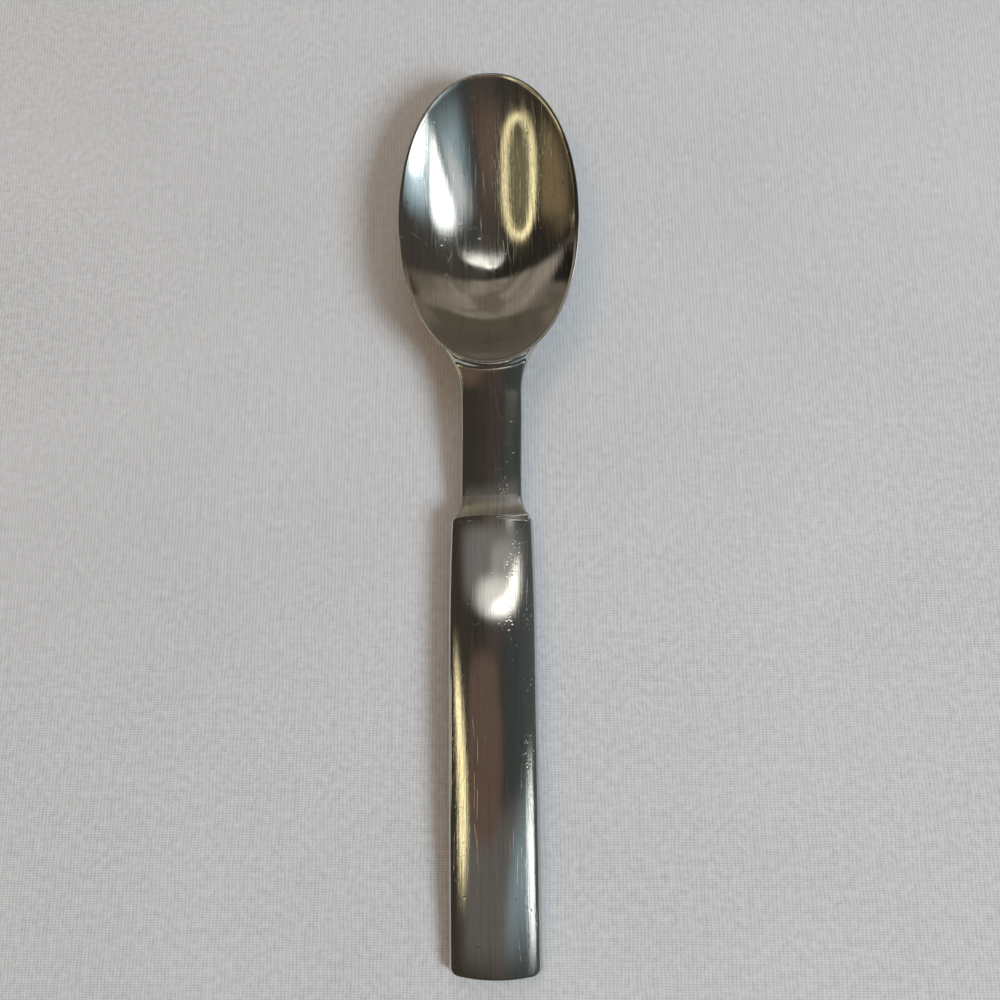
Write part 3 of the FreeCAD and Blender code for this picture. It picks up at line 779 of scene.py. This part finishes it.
# Kinds of scratch: turn in radians, then spacing, length and breadth in millimetres, and how many cells
# of the lattice hold one
SCRATCHES = [
    (0.02, 0.7, 9.0, 0.035, 0.25), (-0.09, 0.9, 6.0, 0.035, 0.18), (0.45, 2.1, 3.0, 0.02, 0.06),
    (-0.75, 2.5, 2.6, 0.02, 0.06), (1.35, 2.3, 2.2, 0.02, 0.05)]
ROW_SHIFT = 7.0
SIDE_START = 0.3
SIDE_SPAN = 0.4
SLANT = 0.5

# Patterns of the steel: scales, and how strongly each shows
BROAD_SCALE = 0.23
FINE_SHARE = 0.6
WEAR_SCALE = 60.0
SPOT_ACROSS = 3.0
SPOT_ALONG = 0.35
PIT_SCALE = 1300.0
PIT_SHARPNESS = 2.8
SPECK_SCALE = 330.0
SPECK_SHARPNESS = 9.0
SPECK_STRENGTH = 0.35
STAIN_START = 0.45
STAIN_STOP = 0.75
STAIN_STRENGTH = 0.5
MIDDLE_WEAR = 0.45
# Darkening of the base colour by each mask: the lines and pits dull the steel itself, the shoulder's share is
# painted shade.
DULLING_AND_SHADE = {"lines": 3.0, "pits": 0.6, "shoulder": 0.45}
ROUGHENING = {"lines": 0.12, "scratches": 0.12, "pits": 0.3, "shoulder": 0.33}


def hairline_group():
    """Group that gives straight short scratches: one in some cells of a lattice turned by an angle."""
    inputs = [("Vector", "NodeSocketVector", None)]
    usual = {"Turn": 0.0, "Spacing": 0.8 * MM, "Length": 6.0 * MM, "Breadth": 0.04 * MM, "Share": 0.2}
    for label, value in usual.items():
        inputs.append((label, "NodeSocketFloat", value))
    tree, term, end = new_group("Hairlines", "ShaderNodeTree", inputs, [("Mask", "NodeSocketFloat")])
    turned = add_node(tree, "ShaderNodeVectorRotate", {"rotation_type": "Z_AXIS"},
                      Vector=term["Vector"], Angle=term["Turn"])
    across, along = across_along(tree, turned.outputs[0])
    column = across / term["Spacing"]
    seed = add_node(tree, "ShaderNodeTexWhiteNoise", {"noise_dimensions": "1D"}, W=column.step("FLOOR"))
    row = along / term["Length"] + Term(tree, seed.outputs["Value"]) * ROW_SHIFT
    cell = add_node(tree, "ShaderNodeCombineXYZ", X=column.step("FLOOR"), Y=row.step("FLOOR"))
    dice = add_node(tree, "ShaderNodeTexWhiteNoise", {"noise_dimensions": "2D"}, Vector=cell.outputs[0])
    rolls = add_node(tree, "ShaderNodeSeparateColor", Color=dice.outputs["Color"])
    side, chance, slant = (Term(tree, rolls.outputs[label]) for label in ("Red", "Green", "Blue"))
    lean = (slant - 0.5) * (row.step("FRACT") - 0.5) * SLANT
    away = abs(column.step("FRACT") - SIDE_START - side * SIDE_SPAN + lean) * term["Spacing"]
    mask = (1.0 - away / term["Breadth"]).step("MAXIMUM", 0.0)
    fade = (row.step("FRACT") * math.pi).step("SINE")
    kept = term["Share"].step("GREATER_THAN", chance)
    plug(tree, mask * fade * kept, end.inputs["Mask"])
    return tree


def highest(terms):
    """The greatest of some terms."""
    result = terms[0]
    for term in terms[1:]:
        result = result.step("MAXIMUM", term)
    return result


def grain_group():
    """Group that gives the steel's lines, scratches, wear, pits, shoulder and front as masks."""
    tree, term, end = new_group(
        "Brushed grain", "ShaderNodeTree",
        [("Vector", "NodeSocketVector", None), ("Lines", "NodeSocketFloat", 1900.0),
         ("Stretch", "NodeSocketFloat", 0.035)],
        [(label, "NodeSocketFloat") for label in ("Lines", "Scratches", "Wear", "Pits", "Shoulder", "Front")])
    across, along = across_along(tree, term["Vector"])
    squeezed = add_node(tree, "ShaderNodeCombineXYZ", X=across, Y=along * term["Stretch"]).outputs[0]
    fine = noise(tree, squeezed, term["Lines"], 5.0, Roughness=0.7)
    broad = noise(tree, squeezed, term["Lines"] * BROAD_SCALE, 3.0)
    plug(tree, fine * FINE_SHARE + broad * (1.0 - FINE_SHARE), end.inputs["Lines"])
    hair = hairline_group()
    marks = []
    for turn, spacing, reach, breadth, some in SCRATCHES:
        one = add_node(tree, "ShaderNodeGroup", {"node_tree": hair}, Vector=term["Vector"], Turn=turn,
                       Spacing=spacing * MM, Length=reach * MM, Breadth=breadth * MM, Share=some)
        marks.append(Term(tree, one.outputs[0]))
    plug(tree, highest(marks), end.inputs["Scratches"])
    plug(tree, noise(tree, term["Vector"], WEAR_SCALE, 4.0, Roughness=0.6), end.inputs["Wear"])
    near = []
    for x, y in PIT_PLACES:
        away = ((across - x * MM) ** 2.0 * SPOT_ACROSS + (along - y * MM) ** 2.0 * SPOT_ALONG) ** 0.5
        near.append(rise(away, PIT_REACH * MM, PIT_CORE * MM))
    dots = []
    for scale, sharpness in ((PIT_SCALE, PIT_SHARPNESS), (SPECK_SCALE, SPECK_SHARPNESS)):
        cells = add_node(tree, "ShaderNodeTexVoronoi", Vector=term["Vector"], Scale=scale)
        dots.append((1.0 - Term(tree, cells.outputs["Distance"]) * sharpness).step("MAXIMUM", 0.0))
    pits, specks = dots
    plug(tree, (pits * highest(near)).step("MAXIMUM", specks * SPECK_STRENGTH), end.inputs["Pits"])
    # The shoulder's mask roughens the steel there and also darkens it with painted shade.
    stretches = (("Shoulder", SHOULDER, SHOULDER_EDGE), ("Front", FRONT, FRONT_EDGE))
    for label, (low, high), edge in stretches:
        begun = rise(along, (low - edge) * MM, (low + edge) * MM)
        unended = rise(along, (high + edge) * MM, (high - edge) * MM)
        plug(tree, begun * unended, end.inputs[label])
    return tree


def steel_material(name, grain, look):
    """Polished steel with lengthwise polishing lines, scratches, pits, faint stains and painted shade on the
    shoulder.
    """
    material, tree = new_material(name)
    shader = tree.nodes["Principled BSDF"]
    place = add_node(tree, "ShaderNodeTexCoord")
    marks = add_node(tree, "ShaderNodeGroup", {"node_tree": grain}, Vector=place.outputs["Object"])
    lines, scratches, wear, pits, shoulder, front = (Term(tree, socket) for socket in marks.outputs)
    tint = mix_colour(
        tree, rise(wear, STAIN_START, STAIN_STOP) * STAIN_STRENGTH, look.steel, look.stain)
    # The shoulder's darkening is painted shade; the lines and pits dull the steel's own colour.
    dulling_and_shade = (0.5 - lines) * DULLING_AND_SHADE["lines"] + pits * DULLING_AND_SHADE["pits"] + shoulder * DULLING_AND_SHADE["shoulder"]
    dark = [value * look.dull_and_shade for value in look.steel]
    tint = mix_colour(tree, dulling_and_shade.step("MAXIMUM", 0.0), tint, dark)
    plug(tree, tint, shader.inputs["Base Color"])
    plug(tree, 1.0, shader.inputs["Metallic"])
    rough = look.rough + (wear - MIDDLE_WEAR) * look.satin + (lines - 0.5) * ROUGHENING["lines"]
    rough = rough + front * look.haze * wear + scratches * ROUGHENING["scratches"]
    rough = rough + pits * ROUGHENING["pits"] + shoulder * ROUGHENING["shoulder"]
    plug(tree, rough.step("MAXIMUM", look.least_rough), shader.inputs["Roughness"])
    height = lines * look.grain - scratches * look.scratch - pits * look.pit
    bump = add_node(tree, "ShaderNodeBump", Strength=0.5, Distance=look.relief, Height=height)
    plug(tree, bump.outputs[0], shader.inputs["Normal"])
    return material


# Room that the steel mirrors

# Tones overhead, each with the sideways direction in which it is seen, from -1 on the left to 1
ROOM_TONES = [
    (-1.0, (0.05, 0.04, 0.03)), (-0.80, (0.052, 0.044, 0.033)), (-0.62, (0.055, 0.048, 0.036)),
    (-0.44, (0.055, 0.048, 0.036)), (-0.20, (0.055, 0.050, 0.042)), (-0.08, (0.085, 0.068, 0.055)),
    (0.06, (0.085, 0.072, 0.060)), (0.16, (0.062, 0.066, 0.060)), (0.45, (0.070, 0.080, 0.078)),
    (0.9, (0.11, 0.125, 0.13))]
EDGE_LEFT = (0.030, 0.026, 0.021)
EDGE_RIGHT = (0.072, 0.064, 0.053)
TAUPE_DARK = (0.20, 0.17, 0.135)
TAUPE_PALE = (0.38, 0.33, 0.27)
LOW_BROWN = (0.13, 0.108, 0.08)
LOWEST_BROWN = (0.085, 0.072, 0.055)


def make_world(look):
    """Plain pale room; the steel mirrors it as dim overhead, with a taupe far side beyond the bowl's tip."""
    world = bpy.data.worlds.new("Room")
    bpy.context.scene.world = world
    world.use_nodes = True
    tree = world.node_tree
    place = add_node(tree, "ShaderNodeTexCoord")
    across, along = across_along(tree, place.outputs["Generated"])
    ramp = add_node(tree, "ShaderNodeValToRGB", Fac=(across + 1.0) / 2.0)
    stops = ramp.color_ramp.elements
    while len(stops) < len(ROOM_TONES):
        stops.new(1.0)
    for stop, (direction, tone) in zip(stops, ROOM_TONES):
        stop.position = (direction + 1.0) / 2.0
        stop.color = (*tone, 1.0)
    square = across * across
    layered = add_node(tree, "ShaderNodeCombineXYZ", X=across * 0.7, Y=(along + square * 0.4) * 3.0)
    swirl = noise(tree, layered.outputs[0], 2.4, 2.0, Distortion=0.9) - 0.5
    edge = mix_colour(tree, rise(across, -0.15, 0.12), EDGE_LEFT, EDGE_RIGHT)
    pale = (swirl * 4.0 + 0.42).step("MINIMUM", 1.0).step("MAXIMUM", 0.0)
    taupe = mix_colour(tree, pale, TAUPE_DARK, TAUPE_PALE)
    far = along - across.step("MAXIMUM", 0.0) * 0.09 + swirl * 0.03
    low = along + square * 0.33
    room = ramp.outputs[0]
    bands = (
        (far, 0.38, 0.42, edge), (far, 0.535, 0.575, taupe),
        (low, 0.885, 0.915, LOW_BROWN), (low, 0.96, 1.04, LOWEST_BROWN))
    for way, start, stop, tone in bands:
        room = mix_colour(tree, rise(way, start, stop), room, tone)
    rays = add_node(tree, "ShaderNodeLightPath")
    lit = mix_colour(tree, rays.outputs["Is Glossy Ray"], look.ambient, room)
    seen = mix_colour(tree, rays.outputs["Is Camera Ray"], lit, look.backdrop)
    plug(tree, seen, tree.nodes["Background"].inputs["Color"])


# Cards that the steel mirrors, each seen within an outline on the picture, given across and down in
# thousandths of the picture's side
PICTURE_SIDE = 1000.0
SENSOR = 36.0
STEEL_HEIGHTS = (12.0, -1.0)
MIRROR_HALVINGS = 40
SLOPE_STEP = 0.05 * MM

# The ring: its middle and half sizes, distance in millimetres, strength, and its glow at each share of
# the way from the outer oval to the inner one
RING_CENTRE = (518.6, 175.0)
RING_OUTER = (17.9, 65.0)
RING_INNER = (10.6, 54.0)
RING_FULLNESS = 2.6
RING_POINTS = 48
RING_DISTANCE = 200
RING_STRENGTH = 2.1
RING_GLOW = {0.0: 0.0, 0.4: 1.0, 0.6: 1.0, 1.0: 0.0}

# The other cards by mirroring surface: name, colour, strength, softness, distance in millimetres, outline
CARDS = {
    "inner_wall": [
        ("window", "daylight", 2.6, 0.35, 250, [
            (431, 114), (428.5, 140), (427, 185), (430, 222), (435, 240),
            (455, 240), (458, 224), (454, 200), (444, 172), (436, 140)]),
        ("window glow", "daylight", 0.8, 0.8, 255, [
            (436, 130), (443, 160), (448, 190), (450, 238), (464, 244),
            (478, 218), (474, 182), (458, 150), (444, 118)]),
        ("near window", "daylight", 4.5, 0.5, 250, [
            (428, 104), (410, 118), (401, 146), (400, 170), (413, 183), (425, 172), (428, 140)]),
        ("near glow", "sky", 1.3, 0.8, 262, [
            (433, 86), (414, 108), (401, 145), (398, 202), (408, 232), (430, 236), (432, 180), (433, 130)]),
        ("sky", "sky", 0.55, 0.85, 268, [
            (440, 80), (422, 98), (432, 130), (440, 180), (452, 238),
            (470, 238), (477, 200), (474, 150), (466, 100), (458, 78)]),
        ("wood", "copper", 0.18, 0.8, 275, [
            (458, 78), (476, 150), (480, 236), (497, 240), (498, 150), (506, 112), (508, 80)]),
        ("ring inside", "olive", 0.22, 0.5, 204, [
            (499, 177), (500, 145), (505, 119), (512, 112), (525.6, 114), (535, 129), (538, 154),
            (538, 185), (535, 214), (528, 232), (518, 238), (508.4, 233), (499.5, 207)]),
        ("gold wall", "amber", 0.25, 0.5, 262, [
            (536, 105), (537, 150), (537, 215), (545, 226), (560, 236),
            (574, 230), (575, 180), (566, 140), (550, 108)]),
        ("crescent", "paper", 2.2, 0.6, 200, [
            (453, 251), (466, 252.5), (482, 253), (498, 251), (511, 247),
            (500, 254), (482, 257), (464, 255.5)]),
    ],
    "bar_top": [
        ("side lamp", "glow", 2.1, 0.5, 250, [
            (452.4, 618), (454.8, 700), (459.2, 800), (459.4, 870), (461.6, 926),
            (463.8, 926), (468.2, 870), (468.2, 800), (463.4, 700), (455.4, 618)]),
        ("side window", "daylight", 2.4, 0.6, 250, [
            (529.5, 728), (526.5, 800), (527, 860), (528, 900), (530, 950), (531, 984),
            (538.6, 984), (538.6, 900), (537, 860), (535, 800), (533.5, 728)]),
        ("side glow", "sky", 0.42, 0.9, 256, [
            (523, 740), (508, 840), (500, 900), (499, 984), (538.5, 984), (538.5, 900), (537, 780)]),
        ("board", "copper", 0.165, 0.25, 254, [
            (468, 638), (466, 700), (466, 840), (480, 862), (498, 850),
            (503, 800), (505, 740), (500, 690), (498, 640)]),
        ("low board", "clay", 0.165, 0.5, 262, [
            (455, 770), (455, 930), (458, 990), (532, 990), (532, 770), (495, 800)]),
        ("patch", "paper", 2.5, 0.45, 30, [
            (520, 542), (514.5, 570), (504, 598), (486, 609), (480, 619),
            (502, 622), (514, 617), (521, 600), (522.5, 570)]),
        ("patch low", "paper", 1.05, 0.7, 32, [
            (470, 575), (470, 619), (500, 626), (520, 618), (522, 580), (500, 566)]),
        ("patch glow", "paper", 0.42, 0.45, 34, [
            (470, 572), (470, 600), (474, 622), (500, 624), (516, 621), (525, 600),
            (527, 575), (524, 543), (507, 527), (488, 540), (475, 554)]),
        ("front glow", "paper", 0.24, 0.5, 34, [
            (457, 516), (457, 560), (459, 606), (470, 616), (520, 616), (529, 590), (531, 516), (490, 514)]),
    ],
    "neck_top": [
        ("neck streak", "paper", 0.6, 0.8, 120, [
            (499, 344), (505, 440), (507, 494), (516, 494), (518.5, 440), (519, 344)]),
    ],
}

# The card on the left that only the steel's edges mirror: corners in millimetres, strength and softness
SIDE_CARD = [(-250, -100, 25), (-250, -100, 100), (-250, -30, 110), (-250, -20, 60), (-250, -30, 25)]
SIDE_STRENGTH = 1.1
SIDE_SOFTNESS = 0.5


def card_material(name, tint, strength):
    """Glow that fades towards the card's edge."""
    material, tree = new_material(name)
    tree.nodes.remove(tree.nodes["Principled BSDF"])
    inward = add_node(tree, "ShaderNodeAttribute", {"attribute_name": "inward"})
    glow = add_node(tree, "ShaderNodeEmission", Color=(*tint, 1.0), Strength=strength)
    clear = add_node(tree, "ShaderNodeBsdfTransparent")
    mix = add_node(tree, "ShaderNodeMixShader")
    plug(tree, rise(Term(tree, inward.outputs["Fac"]), 0.0, 1.0), mix.inputs[0])
    plug(tree, clear.outputs[0], mix.inputs[1])
    plug(tree, glow.outputs[0], mix.inputs[2])
    plug(tree, mix.outputs[0], tree.nodes["Material Output"].inputs["Surface"])
    return material


def add_card(name, loops, inward, material):
    """A glowing card that only the steel mirrors, from loops of corners and each loop's glow."""
    count = len(loops[0])
    verts = [point for loop in loops for point in loop]
    mesh = bpy.data.meshes.new(name)
    mesh.from_pydata(verts, [], tube_faces(count, len(verts) - count))
    glow = mesh.attributes.new("inward", "FLOAT", "POINT")
    glow.data.foreach_set("value", [value for value in inward for index in range(count)])
    mesh.materials.append(material)
    thing = add_thing(name, mesh)
    for ray in ("camera", "diffuse", "shadow", "transmission", "volume_scatter"):
        setattr(thing, "visible_" + ray, False)
    return thing


def soft_card(name, corners, soft, material):
    """A card that fades over a share of the way from its outline to its middle."""
    middle = sum(corners, Vector()) / len(corners)
    inner = [corner.lerp(middle, soft) for corner in corners]
    centre = [corner.lerp(middle, 0.999) for corner in corners]
    return add_card(name, [corners, inner, centre], [0.0, 1.0, 1.0], material)


def rounded(outline):
    """The outline with its corners cut twice, which makes it smooth."""
    for cutting in range(2):
        cut = []
        for first, second in zip(outline, outline[1:] + outline[:1]):
            cut += [Vector(first).lerp(Vector(second), part) for part in (0.25, 0.75)]
        outline = cut
    return outline


def oval(centre, half_sizes):
    """Points round a full oval."""
    points = []
    for index in range(RING_POINTS):
        turn = 2.0 * math.pi * index / RING_POINTS
        point = []
        for middle, half, way in zip(centre, half_sizes, (math.cos(turn), math.sin(turn))):
            point.append(middle + half * math.copysign(abs(way) ** (2.0 / RING_FULLNESS), way))
        points.append(Vector(point))
    return points


def mirror(surface, eye, ray):
    """Where a ray from the eye meets the steel, whose height the surface gives, and its way on from there."""
    near, far = [(height * MM - eye.z) / ray.z for height in STEEL_HEIGHTS]
    for halving in range(MIRROR_HALVINGS):
        middle = (near + far) / 2.0
        point = eye + ray * middle
        if point.z > surface(point.x, point.y):
            near = middle
        else:
            far = middle
    x, y = point.x, point.y
    slope_x = (surface(x + SLOPE_STEP, y) - surface(x - SLOPE_STEP, y)) / (2.0 * SLOPE_STEP)
    slope_y = (surface(x, y + SLOPE_STEP) - surface(x, y - SLOPE_STEP)) / (2.0 * SLOPE_STEP)
    normal = Vector((-slope_x, -slope_y, 1.0)).normalized()
    return point, ray - normal * 2.0 * ray.dot(normal)


def card_corners(look, surface, outline, distance):
    """Corners of a flat card that the camera sees mirrored in the steel within the outline on the picture."""
    eye = Vector(look.camera_place)
    turn = Euler(look.camera_turn).to_matrix()
    hits = []
    for across, down in outline:
        ray = Vector((across / PICTURE_SIDE - 0.5, 0.5 - down / PICTURE_SIDE, -look.camera_lens / SENSOR))
        hits.append(mirror(surface, eye, (turn @ ray).normalized()))
    aim = sum((way for point, way in hits), Vector()).normalized()
    centre = sum((point for point, way in hits), Vector()) / len(hits) + aim * distance * MM
    return [point + way * ((centre - point).dot(aim) / way.dot(aim)) for point, way in hits]


def add_ring(look, surface):
    """The glowing ring that the bowl mirrors."""
    ovals = oval(RING_CENTRE, RING_OUTER) + oval(RING_CENTRE, RING_INNER)
    corners = card_corners(look, surface, ovals, RING_DISTANCE)
    pairs = list(zip(corners[:RING_POINTS], corners[RING_POINTS:]))
    loops = [[outer.lerp(inner, part) for outer, inner in pairs] for part in RING_GLOW]
    return add_card("ring", loops, RING_GLOW.values(), card_material("ring", look.glow, RING_STRENGTH))


def add_cards(look, plan):
    """All the cards that the steel mirrors."""
    cards = [add_ring(look, plan.inner_wall)]
    for surface, group in CARDS.items():
        for name, tint, strength, soft, distance, outline in group:
            corners = card_corners(look, getattr(plan, surface), rounded(outline), distance)
            material = card_material(name, getattr(look, tint), strength)
            cards.append(soft_card(name, corners, soft, material))
    corners = [Vector(corner) * MM for corner in SIDE_CARD]
    material = card_material("left edge lamp", look.glow, SIDE_STRENGTH)
    cards.append(soft_card("left edge lamp", corners, SIDE_SOFTNESS, material))
    return cards


# Floor, lamps and camera

# Lamps: name, place, target, width and height in metres, and the fields with their power and colour
LAMPS = [
    ("key", (1.45, -0.86, 1.24), (0.0, 0.0, 0.0), 0.7, 0.7, "key", "key_colour"),
    ("fill", (-0.52, 0.22, 1.06), (0.0, 0.0, 0.0), 0.5, 0.5, "fill", "fill_colour"),
    ("far light", (0.05, 0.60, 0.60), (0.0, 0.05, 0.0), 0.5, 0.4, "far_light", "key_colour"),
]

# Patterns of the cloth: scales, and how strongly each shows
DRIFT_SCALE = 90.0
DRIFT_REACH = 9.0
BLOTCH_SCALE = 700.0
SLUB_SCALE = 22.0
WEAVE_STRENGTH = 0.75
BLOTCH_STRENGTH = 1.5
SLUB_STRENGTH = 0.35
CROSSING_SHARE = 0.5
THREAD_SHARE = 0.25
THREAD_HEIGHT = 0.05 * MM


def add_floor(look):
    """Plain pale floor with a faint woven grain."""
    side = look.floor_reach
    mesh = bpy.data.meshes.new("floor")
    corners = [(-side, -side, 0.0), (side, -side, 0.0), (side, side, 0.0), (-side, side, 0.0)]
    mesh.from_pydata(corners, [], [(0, 1, 2, 3)])
    material, tree = new_material("Pale cloth")
    mesh.materials.append(material)
    shader = tree.nodes["Principled BSDF"]
    place = add_node(tree, "ShaderNodeTexCoord").outputs["Object"]
    across, along = across_along(tree, place)
    drift = noise(tree, place, DRIFT_SCALE, 2.0) * DRIFT_REACH
    warp = (across * (2.0 * math.pi / look.warp) + drift).step("SINE")
    weft = (along * (2.0 * math.pi / look.weft) + drift).step("SINE")
    weave = warp * weft * CROSSING_SHARE + warp * THREAD_SHARE + weft * THREAD_SHARE
    blotch = noise(tree, place, BLOTCH_SCALE, 4.0, Roughness=0.7) - 0.5
    slub = noise(tree, place, SLUB_SCALE, 3.0) - 0.5
    tone = weave * WEAVE_STRENGTH + blotch * BLOTCH_STRENGTH + slub * SLUB_STRENGTH
    dark = [value * (1.0 - look.contrast) for value in look.floor]
    light = [value * (1.0 + look.contrast) for value in look.floor]
    plug(tree, mix_colour(tree, tone + 0.5, dark, light), shader.inputs["Base Color"])
    plug(tree, 0.9, shader.inputs["Roughness"])
    plug(tree, 0.1, shader.inputs["Specular IOR Level"])
    bump = add_node(tree, "ShaderNodeBump", Strength=0.3, Distance=THREAD_HEIGHT, Height=weave)
    plug(tree, bump.outputs[0], shader.inputs["Normal"])
    return add_thing("floor", mesh)


def add_area(name, place, target, width, height, power, tint):
    """A soft rectangular lamp that neither the camera nor the steel's mirroring shows."""
    light = bpy.data.lights.new(name, "AREA")
    light.shape = "RECTANGLE"
    light.size = width
    light.size_y = height
    light.energy = power
    light.color = tint
    thing = add_thing(name, light)
    thing.location = place
    thing.rotation_euler = (Vector(target) - Vector(place)).to_track_quat("-Z", "Y").to_euler()
    thing.visible_camera = False
    thing.visible_glossy = False
    return thing


def add_camera(look):
    """The camera at the photograph's viewing angle."""
    camera = add_thing("camera", bpy.data.cameras.new("camera"))
    camera.location = look.camera_place
    camera.rotation_euler = look.camera_turn
    camera.data.lens = look.camera_lens
    camera.data.sensor_width = SENSOR
    camera.data.clip_start = 10.0 * MM
    return camera


# Operators and panel


def spoon_plan(scene):
    """Places and surfaces of the spoon, for the sizes set in the scene."""
    return Plan(scene.spoon_bowl, scene.spoon_stem, cad_box[1].y - cad_box[0].y)


def shared_steel(scene):
    """The one steel material, made the first time it is asked for."""
    steel = bpy.data.materials.get("Spoon steel")
    return steel or steel_material("Spoon steel", grain_group(), scene.spoon_steel)


def dress(piece):
    """Tie a finished piece to the frame."""
    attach(piece, "root")
    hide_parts("spoon")


class SPOON_OT_bowl(bpy.types.Operator):
    """Build the bowl with its rounded rim"""

    bl_idname = "spoon.bowl"
    bl_label = "Add bowl"

    def execute(self, context):
        sizes = context.scene.spoon_bowl
        values = {label: getattr(sizes, field) for label, field in BOWL_INPUTS}
        values.update({
            "Tip Y": cad_box[1].y, "Floor": sizes.floor, "Land": sizes.land, "Rim Rounding": sizes.rim_roll,
            "Twist": sizes.twist, "Shift": sizes.shift, "Around": sizes.around, "Rings": sizes.rings,
            "Material": shared_steel(context.scene)})
        dress(node_mesh("bowl", bowl_tree(), values))
        return {"FINISHED"}


class SPOON_OT_stem(bpy.types.Operator):
    """Build the neck with its shoulder, and the bar of the handle"""

    bl_idname = "spoon.stem"
    bl_label = "Add neck and handle"

    def execute(self, context):
        plan = spoon_plan(context.scene)
        steel = shared_steel(context.scene)
        dress(loft("neck", neck_rows(plan), steel))
        dress(loft("handle", bar_rows(plan), steel))
        return {"FINISHED"}


class SPOON_OT_stage(bpy.types.Operator):
    """Set the floor, the lamps, the room and the camera"""

    bl_idname = "spoon.stage"
    bl_label = "Add stage"

    def execute(self, context):
        scene = context.scene
        look = scene.spoon_stage
        scene.view_settings.view_transform = "Standard"
        make_world(look)
        stand = [add_floor(look)]
        for name, place, target, width, height, power, tint in LAMPS:
            stand.append(add_area(
                name, place, target, width, height, getattr(look, power), getattr(look, tint)))
        stand += add_cards(look, spoon_plan(scene))
        scene.camera = add_camera(look)
        return {"FINISHED"}


class SPOON_PT_panel(bpy.types.Panel):
    """Builders of the spoon"""

    bl_label = "Spoon"
    bl_idname = "SPOON_PT_panel"
    bl_space_type = "VIEW_3D"
    bl_region_type = "UI"
    bl_category = "Spoon"

    def draw(self, context):
        for builder in BUILDERS:
            self.layout.operator(builder.bl_idname)


GROUPS = {
    "spoon_bowl": SpoonBowlSizes, "spoon_stem": SpoonStemSizes,
    "spoon_steel": SpoonSteelLook, "spoon_stage": SpoonStageLook}
BUILDERS = (SPOON_OT_bowl, SPOON_OT_stem, SPOON_OT_stage)


def register():
    for name, group in GROUPS.items():
        bpy.utils.register_class(group)
        setattr(bpy.types.Scene, name, PointerProperty(type=group))
    for item in BUILDERS + (SPOON_PT_panel,):
        bpy.utils.register_class(item)


def unregister():
    for item in (SPOON_PT_panel,) + BUILDERS[::-1]:
        bpy.utils.unregister_class(item)
    for name, group in GROUPS.items():
        delattr(bpy.types.Scene, name)
        bpy.utils.unregister_class(group)


def main():
    register()
    bpy.ops.spoon.bowl()
    bpy.ops.spoon.stem()
    bpy.ops.spoon.stage()


if __name__ == "__main__":
    main()
